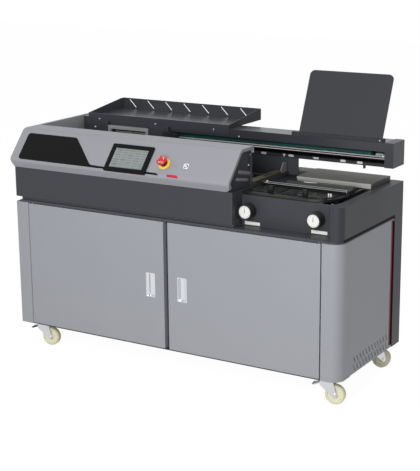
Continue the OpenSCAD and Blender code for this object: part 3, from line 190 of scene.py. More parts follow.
side_coat = powder_coat("side_grey_coat", tone(156, 158, 163), 0.45, 1.0, 0.45)
red_paint = powder_coat("red_enamel", tone(150, 22, 44), 0.45, 0.3, 0.12)
dress(side_coat, "right_side_panel")


def shadow_joint(coat):
    """Painted shadow of the gap under the side cover: black along the foot of the cover's flat side."""
    low = 1 - (coat.coordinate("Z") > at(0, 0, 528.5).z)
    ahead = 1 - (coat.coordinate("Y") > at(0, 465.4, 0).y)
    return (coat.coordinate("X") > at(728, 0, 0).x) * low * ahead


side_cover_coat = powder_coat("side_cover_coat", tone(56, 57, 62), 0.40, 1.2, 0.20, shadow_joint)
dress(side_cover_coat, "side_cover")


def new_piece(name, mesh, finish, body):
    """A finished mesh becomes a piece that rides on a body."""
    piece = bpy.data.objects.new(name, mesh)
    bpy.context.scene.collection.objects.link(piece)
    mesh.materials.clear()
    mesh.materials.append(finish)
    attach(piece, body)
    return piece


# ---- Screws ----
# Pan-head machine screws with a hexagon socket, zinc plated or blackened, one tree for all:
# a head is built once and set on each given point, turned to that point's aim.


def bright_metal(name, colour, roughness, streak=(1.0, 1.0, 1.0), wear=0.06, metallic=1.0):
    metal = Finish(name, Metallic=metallic)
    brushed = metal.noise(220.0, 3.0, streak)
    cloud = metal.noise(9.0, 3.0)
    metal.feed("Base Color", metal.blend(cloud, shade(colour, 1 - wear), shade(colour, 1 + wear)))
    metal.feed("Roughness", brushed * 0.12 + cloud * 0.08 + (roughness - 0.10))
    metal.relief(brushed, 0.06, 0.0003)
    return metal.material


zinc = bright_metal("zinc_plate", tone(200, 202, 204), 0.30)
black_oxide = bright_metal("black_oxide", tone(70, 70, 74), 0.38)


class Shaper:
    """A Geometry Nodes tree that is built node by node."""

    def __init__(self, name, inputs):
        self.tree = bpy.data.node_groups.new(name, "GeometryNodeTree")
        face = self.tree.interface
        face.new_socket("Geometry", in_out="INPUT", socket_type="NodeSocketGeometry")
        face.new_socket("Geometry", in_out="OUTPUT", socket_type="NodeSocketGeometry")
        self.named = {}
        for label, (kind, value) in inputs.items():
            socket = face.new_socket(label, in_out="INPUT", socket_type="NodeSocket" + kind)
            if value is not None:
                socket.default_value = value
            self.named[label] = socket.identifier
        self.entry = self.tree.nodes.new("NodeGroupInput")
        self.exit = self.tree.nodes.new("NodeGroupOutput")

    def given(self, label):
        return self.entry.outputs[label]

    def add(self, kind, settings=None, sockets=None, out=0):
        made = self.tree.nodes.new(kind)
        for key, value in (settings or {}).items():
            setattr(made, key, value)
        for key, value in (sockets or {}).items():
            if isinstance(value, bpy.types.NodeSocket):
                self.tree.links.new(value, made.inputs[key])
            else:
                made.inputs[key].default_value = value
        return made.outputs[out]

    def maths(self, operation, first, second):
        return self.add("ShaderNodeMath", {"operation": operation}, {0: first, 1: second})

    def close(self, geometry, finish):
        solid = self.add("GeometryNodeRealizeInstances", {}, {0: geometry})
        dressed = self.add("GeometryNodeSetMaterial", {}, {"Geometry": solid, "Material": finish})
        self.tree.links.new(dressed, self.exit.inputs[0])

    def grow(self, name, seed, values, finish, body):
        """Runs the tree on a seed mesh and keeps the result as a plain piece."""
        host = bpy.data.objects.new(name + "_seed", seed)
        bpy.context.scene.collection.objects.link(host)
        modifier = host.modifiers.new("shape", "NODES")
        modifier.node_group = self.tree
        for label, value in values.items():
            modifier[self.named[label]] = value
        bpy.context.view_layer.update()
        evaluated = host.evaluated_get(bpy.context.evaluated_depsgraph_get())
        mesh = bpy.data.meshes.new_from_object(evaluated)
        host.modifiers.remove(modifier)
        bpy.data.objects.remove(host)
        mesh.name = name
        return new_piece(name, mesh, finish, body)


def spots(name, places):
    """A mesh of loose points, each with the direction that it looks in."""
    mesh = bpy.data.meshes.new(name)
    mesh.from_pydata([place for place, _ in places], [], [])
    aim = mesh.attributes.new("aim", "FLOAT_VECTOR", "POINT")
    for i, (_, direction) in enumerate(places):
        aim.data[i].vector = direction
    return mesh


rim_share, shoulder, crown = 0.6, 0.94, 0.66
screw_tree = Shaper("pan_head_screws", {
    "Head radius": ("Float", 0.004), "Head height": ("Float", 0.0024),
    "Socket radius": ("Float", 0.002), "Finish": ("Material", None)})
shank = screw_tree.add("GeometryNodeMeshCone", {}, {
    "Vertices": 20,
    "Radius Top": screw_tree.maths("MULTIPLY", screw_tree.given("Head radius"), shoulder),
    "Radius Bottom": screw_tree.given("Head radius"),
    "Depth": screw_tree.maths("MULTIPLY", screw_tree.given("Head height"), rim_share)})
dome = screw_tree.add("GeometryNodeMeshCone", {}, {
    "Vertices": 20,
    "Radius Top": screw_tree.maths("MULTIPLY", screw_tree.given("Head radius"), crown),
    "Radius Bottom": screw_tree.maths("MULTIPLY", screw_tree.given("Head radius"), shoulder),
    "Depth": screw_tree.maths("MULTIPLY", screw_tree.given("Head height"), 1 - rim_share)})
lifted = screw_tree.add("GeometryNodeTransform", {}, {
    "Geometry": dome, "Translation": screw_tree.add("ShaderNodeCombineXYZ", {}, {
        "Z": screw_tree.maths("MULTIPLY", screw_tree.given("Head height"), rim_share)})})
both = screw_tree.add("GeometryNodeJoinGeometry", {})
screw_tree.tree.links.new(shank, both.node.inputs[0])
screw_tree.tree.links.new(lifted, both.node.inputs[0])
key = screw_tree.add("GeometryNodeMeshCylinder", {}, {
    "Vertices": 6, "Radius": screw_tree.given("Socket radius"),
    "Depth": screw_tree.given("Head height")})
raised_key = screw_tree.add("GeometryNodeTransform", {}, {
    "Geometry": key, "Translation": screw_tree.add("ShaderNodeCombineXYZ", {}, {
        "Z": screw_tree.given("Head height")})})
head = screw_tree.add("GeometryNodeMeshBoolean", {"operation": "DIFFERENCE"}, {0: both, 1: raised_key})
aimed = screw_tree.add("FunctionNodeAlignRotationToVector", {"axis": "Z"}, {
    "Vector": screw_tree.add(
        "GeometryNodeInputNamedAttribute", {"data_type": "FLOAT_VECTOR"}, {"Name": "aim"})})
screw_tree.close(screw_tree.add("GeometryNodeInstanceOnPoints", {}, {
    "Points": screw_tree.given("Geometry"), "Instance": head, "Rotation": aimed}),
    screw_tree.given("Finish"))

front = Vector((0, -1, 0))
up = Vector((0, 0, 1))
right = Vector((1, 0, 0))


def screws(name, places, radius, finish, body):
    return screw_tree.grow(name, spots(name, places), {
        "Head radius": radius, "Head height": radius * 0.55, "Socket radius": radius * 0.45,
        "Finish": finish}, finish, body)


rear_face = 538
rear_holes = [(at(x, rear_face, z), -front) for x in (-660, -330, 0, 330, 670) for z in (26, 490)]
rear_holes += [(at(x, rear_face, 256), -front) for x in (-660, 670)]
screws("rear_panel_screws", rear_holes, 0.005, zinc, "frame")

# ---- Doors and flush pulls ----
# Two pressed steel door pans on pivot pins, in the cabinet's light coat. Each flush pull is
# a chromed pressing clipped into a cut-out near the door's free edge.

chrome = bright_metal("chrome_plate", tone(214, 216, 220), 0.14, wear=0.03)
dress(light_coat, "door_left", "door_right")
dress(chrome, "pull_left", "pull_right")
dress(zinc, "hinge_pins")

# ---- Castors ----
# Zinc plated swivel forks with cream nylon wheels that turn on riveted axles. The front
# pair has a foot brake, one tread black and one plain.


def moulded(name, colour, roughness, grain=1.0, specular=0.5):
    plastic = Finish(name, Specular_IOR_Level=specular)
    cloud = plastic.noise(5.0, 3.0)
    pebble = plastic.noise(900.0, 2.0)
    plastic.feed("Base Color", plastic.blend(cloud, shade(colour, 0.97), shade(colour, 1.03)))
    plastic.feed("Roughness", cloud * 0.08 + pebble * 0.06 + (roughness - 0.07))
    plastic.relief(pebble, 0.08 * grain, 0.0004)
    return plastic.material


cream_nylon = moulded("cream_nylon", tone(226, 222, 192), 0.42)
black_plastic = moulded("black_plastic", tone(26, 26, 28), 0.45)
corners = ("front_left", "front_right", "rear_left", "rear_right")
dress(zinc, "castor_plates", *("fork_" + c for c in corners))
dress(cream_nylon, *("wheel_" + c for c in corners))
dress(black_plastic, "pedal_left")
dress(zinc, "pedal_right")


def turned(name, profile, centre, axis, segments=48):
    """A closed turned shape: (radius, height) pairs from the axis out and back."""
    mesh = bpy.data.meshes.new(name)
    built = bmesh.new()
    turn = Vector((0, 0, 1)).rotation_difference(Vector(axis).normalized()).to_matrix()
    rings = []
    for radius, height in profile:
        if radius == 0:
            rings.append([built.verts.new(turn @ Vector((0, 0, height)) + centre)])
            continue
        rings.append([built.verts.new(turn @ Vector((
            radius * math.cos(2 * math.pi * i / segments),
            radius * math.sin(2 * math.pi * i / segments), height)) + centre)
            for i in range(segments)])
    for inner, outer in zip(rings, rings[1:]):
        for i in range(segments):
            j = (i + 1) % segments
            corners_of_face = [
                inner[i % len(inner)], inner[j % len(inner)],
                outer[j % len(outer)], outer[i % len(outer)]]
            seen = []
            for corner in corners_of_face:
                if corner not in seen:
                    seen.append(corner)
            if len(seen) > 2:
                built.faces.new(seen)
    bmesh.ops.recalc_face_normals(built, faces=built.faces)
    for face in built.faces:
        face.smooth = len(face.verts) == 4
    built.to_mesh(mesh)
    built.free()
    return mesh


def axle_of(corner):
    """The middle of a wheel and the direction of its axle."""
    for joint in frame["joints"]:
        if joint["name"] == "wheel_spin_" + corner:
            return Vector(joint["pos_m"]), Vector(joint["axis"])


half_wheel = 0.0139
for corner in corners:
    middle, axle = axle_of(corner)
    for side in (-1, 1):
        label = "bearing_cap_%s_%d" % (corner, side > 0)
        cap = turned(label, [
            (0.0045, 0.0), (0.0105, 0.0), (0.0108, 0.0010), (0.0098, 0.0016), (0.0045, 0.0018)],
            middle + axle * side * half_wheel, axle * side, 32)
        new_piece(label, cap, zinc, "tyre_" + corner)

# ---- Deck plate ----
# A thick satin charcoal plate that closes the cabinet and shows as a ledge in front of the
# knobs.

ledge_coat = powder_coat("ledge_coat", tone(66, 67, 72), 0.38, 0.4)
dress(ledge_coat, "top_deck")

# ---- Upper housing and knob panel ----
# Welded charcoal tub round the binding line, and the upright panel beside it. The dark end
# cheek under the cover has pressed ribs and two cap screws.

dress(charcoal_coat, "upper_housing", "knob_panel", "beam_pillars", "beam_end_box")
cheek_face = 279
screws("end_cheek_screws", [(at(cheek_face, y, z), right) for y, z in ((152, 771), (139, 733))],
       0.0042, zinc, "frame")


def swage(name, corners_yz, x, swell, finish):
    """A soft raised bead on a sheet that looks to the right, from four (y, z) corners in mm."""
    mesh = bpy.data.meshes.new(name)
    built = bmesh.new()
    rows, columns = 12, 16
    near_top, far_top, far_foot, near_foot = (Vector(corner) for corner in corners_yz)
    grid = []
    for r in range(rows + 1):
        grid.append([])
        for c in range(columns + 1):
            u, v = c / columns, r / rows
            spot = near_top.lerp(far_top, u).lerp(near_foot.lerp(far_foot, u), v)
            height = swell * math.sin(math.pi * v) * min(1, math.sin(math.pi * u) * 2)
            grid[r].append(built.verts.new(at(x + height, spot.x, spot.y)))
    for r in range(rows):
        for c in range(columns):
            face = built.faces.new([grid[r][c], grid[r][c + 1], grid[r + 1][c + 1], grid[r + 1][c]])
            face.smooth = True
    back = built.faces.new([grid[0][0], grid[rows][0], grid[rows][columns], grid[0][columns]])
    built.normal_update()
    if grid[0][0].link_faces[0].normal.x < 0:
        bmesh.ops.reverse_faces(built, faces=built.faces)
    bmesh.ops.delete(built, geom=[back], context="FACES_ONLY")
    built.to_mesh(mesh)
    built.free()
    return new_piece(name, mesh, finish, "frame")


# The beads are painted a lighter grey than the charcoal cheek: a painted highlight along each bead.
cheek_grey = powder_coat("cheek_grey", tone(122, 122, 130), 0.4)
for label, bead in (
        ("upper", [(62, 727), (160, 705), (160, 690), (62, 712)]),
        ("lower", [(44, 702), (139, 682), (139, 670), (44, 689)])):
    swage("cheek_bead_" + label, bead, cheek_face - 0.2, 5.0, cheek_grey)

# ---- Control cover ----
# One thick moulding in matt light grey: nose, control slope, flat rim and left cheek. A
# gloss black inlay with a thin tail is let into the slope, and a short red accent.

cover_plastic = moulded("cover_plastic", tone(149, 150, 156), 0.50, 1.6)
gloss_black = moulded("gloss_black", tone(14, 14, 15), 0.12, 0.1, 0.10)
gloss_red = moulded("gloss_red", tone(190, 24, 44), 0.25, 0.2)
dress(cover_plastic, "control_cover")

slope_angle = math.radians(49)
slope_turn = Matrix.Rotation(slope_angle, 4, "X")


def on_slope(x, climb, lift=0.0):
    """A place on the control slope: across, up the slope and out of it, in millimetres."""
    return Matrix.Translation(at(0, -15, 704)) @ slope_turn @ Matrix.Translation(
        Vector((x, climb, lift)) / 1000)


def rounded(points, radii, steps=6):
    """A closed outline with its corners rounded."""
    outline = []
    for i, (x, y) in enumerate(points):
        here = Vector((x, y))
        before = (Vector(points[i - 1]) - here).normalized()
        after = (Vector(points[(i + 1) % len(points)]) - here).normalized()
        if radii[i] <= 0:
            outline.append(here)
            continue
        half = before.angle(after) / 2
        centre = here + (before + after).normalized() * radii[i] / math.sin(half)
        reach = radii[i] / math.tan(half)
        first, last = here + before * reach - centre, here + after * reach - centre
        sweep = first.angle_signed(last)
        for k in range(steps + 1):
            angle = -sweep * k / steps
            outline.append(centre + Vector((
                first.x * math.cos(angle) - first.y * math.sin(angle),
                first.x * math.sin(angle) + first.y * math.cos(angle))))
    return outline


def slab(name, outline, bottom, top, place, edge):
    """A flat plate with an eased upper edge, from an outline in millimetres."""
    mesh = bpy.data.meshes.new(name)
    built = bmesh.new()
    lower = [built.verts.new((p[0] / 1000, p[1] / 1000, bottom / 1000)) for p in outline]
    upper = [built.verts.new((p[0] / 1000, p[1] / 1000, top / 1000)) for p in outline]
    built.faces.new(lower)
    lid = built.faces.new(upper)
    for i in range(len(outline)):
        j = (i + 1) % len(outline)
        built.faces.new([lower[i], lower[j], upper[j], upper[i]])
    bmesh.ops.recalc_face_normals(built, faces=built.faces)
    if edge:
        bmesh.ops.bevel(
            built, geom=list(lid.edges), offset=edge / 1000, segments=2, affect="EDGES", profile=0.6)
    built.transform(place)
    built.to_mesh(mesh)
    built.free()
    return mesh


def plate(name, outline, bottom, top, place, edge, finish, body):
    """A slab that becomes a piece at once."""
    return new_piece(name, slab(name, outline, bottom, top, place, edge), finish, body)


inlay = rounded(
    [(-692, -11), (-692, 110), (-451, 110), (-338, -2), (-264, -4), (-264, -12)],
    [14, 12, 22, 22, 0, 0])
plate("black_inlay", inlay, -1.5, 0.9, on_slope(0, 0), 0.3, gloss_black, "frame")
tail = rounded([(-76, -12), (-76, -4), (-26, -5), (-18, -13)], [0, 0, 3, 1])
plate("inlay_tail", tail, -1.5, 0.9, on_slope(0, 0), 0.3, gloss_black, "frame")
accent = rounded([(23, -15), (15, -5), (62, -5), (71, -15)], [1.5, 2, 1.5, 2])
plate("red_accent", accent, -2.0, 0.9, on_slope(0, 0), 0.3, gloss_red, "frame")

# ---- Seam of the right side ----
# The rear joint of the side panel is filled by the red strip and, behind it, a matt black strip that
# paints the shadow in the gap; both are flat sections laid on the panel.

# Outlines in (y, z) millimetres, with their thickness along X.
sideways = Matrix.Translation(at(0, 0, 0)) @ Matrix(
    ((0, 0, 1, 0), (1, 0, 0, 0), (0, 1, 0, 0), (0, 0, 0, 1)))
panel_face = 729.05
red_outline = rounded([(437, 12), (446.4, 12), (446.4, 506), (437, 512)], [0.5, 0.5, 5, 1])
red_strip = plate("red_strip", red_outline, panel_face, 729.6, sideways, 0.2,
                  red_paint, "frame")
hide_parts("red_trim")
# Painted shadow: a matt black strip laid where the joint behind the red strip lies in shade.
gap_shadow_black = moulded("gap_shadow_black", tone(12, 8, 11), 0.9, 0.0, 0.05)
gap_shadow_outline = rounded(
    [(446.6, 12), (464.6, 12), (464.6, 502), (446.6, 512)], [0.5, 0.5, 2, 1])
plate("gap_shadow_strip", gap_shadow_outline, panel_face, 729.7, sideways, 0.2,
      gap_shadow_black, "frame")

# ---- Operator panel ----
# A black bezel with a bonded glass front; the lit screen behind it shows a plain menu page
# of rounded fields on a grey-green ground.

dress(gloss_black, "hmi_panel")
screen = Finish("screen_glass", Roughness=0.18, Specular_IOR_Level=0.3)
spot = screen.place()
tiles = screen.node("ShaderNodeTexBrick", {"offset": 0.0, "squash": 1.0}, {
    "Vector": screen.node("ShaderNodeMapping", {"vector_type": "TEXTURE"}, {
        "Vector": spot, "Rotation": (slope_angle, 0, 0)}),
    "Color1": tone(118, 125, 123), "Color2": tone(94, 102, 112), "Mortar": tone(136, 142, 139),
    "Scale": 1.0, "Mortar Size": 0.0022, "Mortar Smooth": 0.4, "Bias": -0.2,
    "Brick Width": 0.030, "Row Height": 0.0105})
haze = screen.noise(26.0, 2.0)
page = screen.blend(haze * 0.5, tiles, tone(112, 119, 118))
screen.feed("Base Color", page)
screen.feed("Emission Color", page)
screen.shader.inputs["Emission Strength"].default_value = 0.25
glass = rounded([(-75, -42), (75, -42), (75, 42), (-75, 42)], [1.5] * 4)
plate("screen", glass, 5.0, 5.5, on_slope(-170, 40), 0.1,
      screen.material, "frame")

# ---- Stop button and reset button ----
# A red mushroom cap on a black plunger over a yellow disc, and a small chromed push button.
# Turning the cap along its three raised arrows lets it out.

cap_red = moulded("cap_red", tone(196, 24, 26), 0.16, 0.1, 0.6)
disc_yellow = moulded("disc_yellow", tone(238, 196, 40), 0.34, 0.5)
dress(cap_red, "estop_cap")
dress(black_plastic, "switch_bodies", "estop_plunger")
dress(chrome, "reset_button")
slope_out = Vector((0, -math.sin(slope_angle), math.cos(slope_angle)))
stop_foot = on_slope(-10, 38).translation
new_piece("yellow_disc", turned("yellow_disc", [
    (0.0142, 0.0), (0.0240, 0.0), (0.0242, 0.0012), (0.0236, 0.0018), (0.0150, 0.0030), (0.0142, 0.0030)],
    stop_foot, slope_out, 64), disc_yellow, "frame")
arrow_white = moulded("arrow_white", tone(236, 214, 208), 0.35, 0.3)
arrow_mesh = bpy.data.meshes.new("cap_arrows")
arrows = bmesh.new()
cap_radius, cap_edge, cap_dome, proud = 20, 27, 7, 0.25
facets, facet_angle = 8, 8
for third in range(3):
    ring = []
    for radius in (11.2, 13.4):
        height = cap_edge + cap_dome * math.sqrt(1 - (radius / cap_radius) ** 2) + proud
        angles = [math.radians(third * 120 + facet_angle * k) for k in range(facets + 1)]
        ring.append([arrows.verts.new(Vector((
            radius * math.cos(angle), radius * math.sin(angle), height)) / 1000)
            for angle in angles])
    for k in range(facets):
        arrows.faces.new([ring[0][k], ring[1][k], ring[1][k + 1], ring[0][k + 1]])
    tip_angle = math.radians(third * 120 + 80)
    tip = arrows.verts.new(Vector((
        12.3 * math.cos(tip_angle), 12.3 * math.sin(tip_angle), 32.8)) / 1000)
    arrows.faces.new([ring[0][facets], ring[1][facets], tip])
arrows.transform(on_slope(-10, 38))
arrows.to_mesh(arrow_mesh)
arrows.free()
new_piece("cap_arrows", arrow_mesh, arrow_white, "stop_cap")
reset_ring = turned("reset_ring", [
    (0.0084, 0.0), (0.0128, 0.0), (0.0130, 0.0014), (0.0118, 0.0030), (0.0096, 0.0038), (0.0084, 0.0030)],
    on_slope(87, 37).translation, slope_out, 48)
new_piece("reset_ring", reset_ring, chrome, "frame")

# ---- Beam, rods and belt ----
# An extruded charcoal box beam with a front slot; two ground and chromed rods carry the
# carriage, and a teal belt on edge pulls it. Bright clips hold the wiring under the slot.

beam_coat = powder_coat("beam_coat", tone(54, 55, 60), 0.27, 0.8, 0.42)
dress(beam_coat, "gantry_beam")
# The rod colour paints light: a painted highlight band along the top of each rod, painted shade and dark
# reflection below it, and on the rear rod a near-white painted glint with little metal, so the lamps
# light it.
rod_steel = Finish("rod_steel")
height = rod_steel.coordinate("Z")
highlight_band = rod_steel.ramp(height, at(0, 0, 740.0).z, at(0, 0, 742.4).z, curve="SMOOTHSTEP")
rod_streaks = rod_steel.noise(60.0, 3.0, (0.05, 1, 1))
rod_highlight_and_shade = rod_steel.blend(
    highlight_band, rod_steel.blend(rod_streaks, tone(30, 26, 28), tone(46, 40, 42)), tone(226, 222, 224))
rear_rod = rod_steel.coordinate("Y") > at(0, 464, 0).y
glint = rear_rod * (height > at(0, 0, 741.8).z) * (1 - (height > at(0, 0, 745.0).z))
rod_steel.feed("Base Color", rod_steel.blend(glint, rod_highlight_and_shade, tone(236, 238, 238)))
rod_steel.feed("Metallic", 1 - glint * 0.85)
rod_steel.feed("Roughness", 0.30 - highlight_band * 0.12 + rod_streaks * 0.05)
dress(rod_steel.material, "guide_rods")
belt_teal = Finish("belt_teal", Specular_IOR_Level=0.3)
weave = belt_teal.node("ShaderNodeTexWave", {"bands_direction": "DIAGONAL"}, {
    "Vector": belt_teal.place(), "Scale": 260.0, "Distortion": 0.5})
rub = belt_teal.noise(30.0, 3.0)
shaded = belt_teal.ramp(belt_teal.coordinate("Z"), at(0, 0, 751).z, at(0, 0, 755).z)
belt_teal.feed("Base Color", belt_teal.blend(
    shaded, belt_teal.blend(rub, tone(16, 72, 68), tone(30, 96, 90)), tone(20, 34, 36)))
belt_teal.feed("Roughness", rub * 0.2 + 0.5)
belt_teal.relief(weave, 0.2, 0.0004)
dress(belt_teal.material, "drive_belt")
alloy = bright_metal("machined_alloy", tone(178, 180, 182), 0.32, (0.3, 1, 1))
dress(alloy, "drive_pulley", "idler_pulley")
dress(black_oxide, "belt_motor")
screws("beam_screw", [(at(65, 437, 776), front)], 0.0040, zinc, "frame")
edge_on = Matrix.Rotation(math.radians(90), 4, "X")


def upright(y, x=0, z=0):
    """Outlines in (x, z) millimetres stand up at this depth, with their thickness forwards."""
    return Matrix.Translation(at(x, y, z)) @ edge_on


plate("cable_strip", [(-258, 713.5), (690, 713.5), (690, 723.6), (-258, 723.6)], 0, 1.0,
      upright(437), 0.3, black_plastic, "frame")

clip_tree = Shaper("cable_clips", {
    "Width": ("Float", 0.02), "Height": ("Float", 0.008), "Depth": ("Float", 0.0014),
    "Finish": ("Material", None)})
strap = clip_tree.add("GeometryNodeMeshCube", {}, {
    "Size": clip_tree.add("ShaderNodeCombineXYZ", {}, {
        "X": clip_tree.given("Width"), "Y": clip_tree.given("Depth"), "Z": clip_tree.given("Height")})})
button = clip_tree.add("GeometryNodeTransform", {}, {
    "Geometry": clip_tree.add("GeometryNodeMeshCylinder", {}, {
        "Vertices": 20, "Radius": clip_tree.maths("MULTIPLY", clip_tree.given("Height"), 0.42),
        "Depth": clip_tree.maths("MULTIPLY", clip_tree.given("Depth"), 1.5)}),
    "Rotation": (math.radians(90), 0, 0)})
pair_of_parts = clip_tree.add("GeometryNodeJoinGeometry", {})
clip_tree.tree.links.new(strap, pair_of_parts.node.inputs[0])
clip_tree.tree.links.new(button, pair_of_parts.node.inputs[0])
clip_tree.close(clip_tree.add("GeometryNodeInstanceOnPoints", {}, {
    "Points": clip_tree.given("Geometry"), "Instance": pair_of_parts}), clip_tree.given("Finish"))
bright_zinc = bright_metal("bright_zinc", tone(224, 226, 226), 0.28, (1, 1, 1), 0.06, 0.5)
for label, places, width, tall in (
        ("wide", (180, 301, 409, 524, 594), 0.022, 0.0085), ("narrow", (270,), 0.007, 0.0100)):
    seed = spots("clips_" + label, [(at(x, 435.2, 721), front) for x in places])
    clip_tree.grow("cable_clips_" + label, seed, {
        "Width": width, "Height": tall, "Depth": 0.0014, "Finish": bright_zinc},
        bright_zinc, "frame")

plate("tension_block", rounded([(-20, -11), (20, -11), (20, 11), (-20, 11)], [3] * 4), 0, 22,
      upright(524, 648, 738), 1.2, bright_zinc, "frame")
plate("tension_arm", rounded([(612, 506), (676, 500), (676, 512), (612, 518)], [4] * 4), 0, 3,
      Matrix.Translation(at(0, 0, 728)), 0.8, alloy, "frame")
bolt_profile = [
    (0.0, 0.0), (0.0042, 0.0), (0.0042, 0.0120), (0.0075, 0.0120), (0.0078, 0.0170),
    (0.0070, 0.0180), (0.0, 0.0180)]
for k, (foot, way) in enumerate((
        (at(630, 512, 733), front), (at(664, 512, 742), front), (at(694, 462, 748), -right))):
    label = "tension_bolt_%d" % k
    new_piece(label, turned(label, bolt_profile, foot, way, 24), bright_zinc, "frame")
plate("limit_switch", rounded([(-4, -8), (4, -8), (4, 6), (-4, 6)], [1.5] * 4), 0, 8,
      upright(452, 607, 706), 1.0, black_plastic, "frame")

# ---- Book tray ----
# Folded charcoal sheet with seven slanted slots in its rear wall, screwed through its front
# flange to the beam.



def shaded_flank(coat):
    """Painted shade: the tray's right end flank is painted darker than the rest."""
    return (coat.coordinate("X") > at(19.4, 0, 0).x) * 0.8


tray_coat = powder_coat("tray_coat", tone(60, 62, 67), 0.24, 0.6, 0.34, shaded_flank)
dress(tray_coat, "book_tray")
screws("tray_screws", [(at(x, 435, 796), front) for x in (-619, -333, -52)],
       0.0040, zinc, "frame")

# ---- Support board and holder ----
# A laminated charcoal board, matt, that leans in a grooved strip screwed to the beam.

board_coat = powder_coat("board_laminate", tone(48, 49, 53), 0.50, 0.6)
dress(board_coat, "support_board", "board_holder")
screws("holder_screws", [(at(668, 447, 809), front)], 0.003, zinc, "frame")

# ---- Clamp carriage ----
# Charcoal bearing blocks slide on the rods and carry an aluminium clamp: a ribbed rear jaw
# and a front jaw on two pins. A steel flag on the right block trips the limit switch.

dress(charcoal_coat, "carriage_blocks")
clamp_alloy = bright_metal("clamp_alloy", tone(172, 173, 171), 0.36, (0.2, 1, 1), 0.06, 0.4)
dress(clamp_alloy, "rear_clamp_jaw", "front_clamp_jaw")
screws("block_screws", [(at(-630, 419, 764), front)], 0.0042, zinc, "carriage")
flag = rounded([(-288, 744), (-206, 744), (-214, 769), (-288, 772)], [2, 3, 8, 2])
plate("switch_flag", flag, 0, 2.4, upright(418.9), 0.4, black_oxide, "carriage")
block_holes = [(at(x, 419, z), front) for x in (-668, -582, -346, -275) for z in (722, 778)]
screws("block_cap_screws", block_holes, 0.0038, black_oxide, "carriage")
screws("jaw_screws", [(at(x, 322, 686), front) for x in (-650, -475, -301)],
       0.004, black_oxide, "front_clamp")

# ---- Milling and glue stations ----
# A cast motor with an open hood round a toothed steel disc, and a brass-coloured coated
# tank with a ground roller. Hardened glue clings to the tank in amber streaks.

iron = Finish("machined_iron", Metallic=1.0)
sand = iron.noise(160.0, 4.0)
iron.feed("Base Color", iron.blend(sand, tone(74, 73, 70), tone(104, 102, 98)))
iron.feed("Roughness", sand * 0.25 + 0.42)
iron.relief(sand, 0.25, 0.0008)
dress(iron.material, "milling_unit")
ground = bright_metal("ground_steel", tone(150, 148, 138), 0.34, (0.05, 1, 1))
dress(ground, "milling_cutter", "glue_roller")
tank_coat = Finish("tank_coat", Metallic=0.5)
streak = tank_coat.noise(22.0, 4.0, (1, 1, 0.25))
tank_coat.feed("Base Color", tank_coat.blend(streak, tone(62, 61, 54), tone(88, 76, 50)))
tank_coat.feed("Roughness", streak * 0.3 + 0.3)
tank_coat.relief(streak, 0.2, 0.001)
dress(tank_coat.material, "glue_tank")
apron = rounded([(250, 172), (284, 172), (284, 432), (250, 432)], [2, 8, 8, 2])
flat = Matrix.Translation(at(0, 0, 0))
plate("glue_apron", apron, 655.5, 666.0, flat, 1.5, tank_coat.material, "frame")
apron_well = rounded([(256, 268), (279, 268), (279, 330), (256, 330)], [3] * 4)
plate("apron_well", apron_well, 665.6, 666.4, flat, 0.3, black_oxide, "frame")
wiper = rounded([(386, 657), (431, 657), (431, 697), (404, 697), (386, 676)], [1, 3, 8, 6, 4])
plate("spine_wiper", wiper, 281.5, 284.5, sideways, 0.8, cheek_grey, "frame")

# ---- Platform, nip and gauges ----
# A dark steel table with a ground rear nip jaw, whose front bar is polished, a sliding
# front jaw, two chromed lay rods and two black gauges that the knobs drive.

enamel = moulded("white_enamel", tone(232, 232, 228), 0.28, 0.2)
table_steel = bright_metal("table_steel", tone(62, 64, 62), 0.36, (1, 0.1, 1))
jaw_steel = bright_metal("jaw_steel", tone(70, 69, 64), 0.46, (0.06, 1, 1), 0.06, 0.4)
bar_steel = bright_metal("bar_steel", tone(188, 188, 182), 0.34, (0.06, 1, 1), 0.06, 0.3)
gauge_black = bright_metal("gauge_black", tone(48, 49, 49), 0.26, (1, 0.2, 1))
dress(table_steel, "platform_deck", "front_nip_jaw")
dress(jaw_steel, "rear_nip_jaw")
dress(gauge_black, "gauge_left", "gauge_right")
# The lay rods' colour paints light: a streaked painted highlight along the top and painted shade below.
lay_steel = Finish("lay_steel", Metallic=1.0)
crest = lay_steel.ramp(lay_steel.coordinate("Z"), at(0, 0, 654.6).z, at(0, 0, 655.6).z)
lay_streaks = lay_steel.noise(40.0, 3.0, (0.1, 1, 1))
lay_steel.feed("Base Color", lay_steel.blend(crest, tone(60, 60, 60), lay_steel.blend(
    lay_streaks, tone(92, 93, 95), tone(150, 152, 154))))
lay_steel.feed("Roughness", lay_streaks * 0.10 + 0.20)
dress(lay_steel.material, "lay_rods")
bar = rounded([(376, 646.8), (684, 646.8), (684, 663.8), (376, 663.8)], [0.8] * 4)
plate("nip_bar", bar, 0, 0.8, upright(342.2), 0.3, bar_steel, "frame")
finger = rounded([(444, 262), (496, 268), (496, 280), (444, 274)], [3] * 4)
plate("paper_clamp", finger, 0, 2.2, Matrix.Translation(at(0, 0, 662)), 0.8,
      alloy, "nip")
collar_profile = [
    (0.0041, 0.0), (0.0068, 0.0), (0.0072, 0.0008), (0.0072, 0.0072), (0.0068, 0.0080),
    (0.0041, 0.0080)]
for k, (x, y) in enumerate(((650, 238), (650, 216), (304, 238))):
    label = "lay_collar_%d" % k
    collar = turned(label, collar_profile, at(x - 4, y, 653), right, 32)
    new_piece(label, collar, alloy, "frame")
pin_profile = [(0.0, 0.0), (0.0028, 0.0), (0.0028, 0.0120), (0.0020, 0.0135), (0.0, 0.0138)]
for k, x in enumerate((612, 621)):
    label = "stop_pin_%d" % k
    pin = turned(label, pin_profile, at(x, 136, 648.2), up, 24)
    new_piece(label, pin, enamel, "right_gauge")
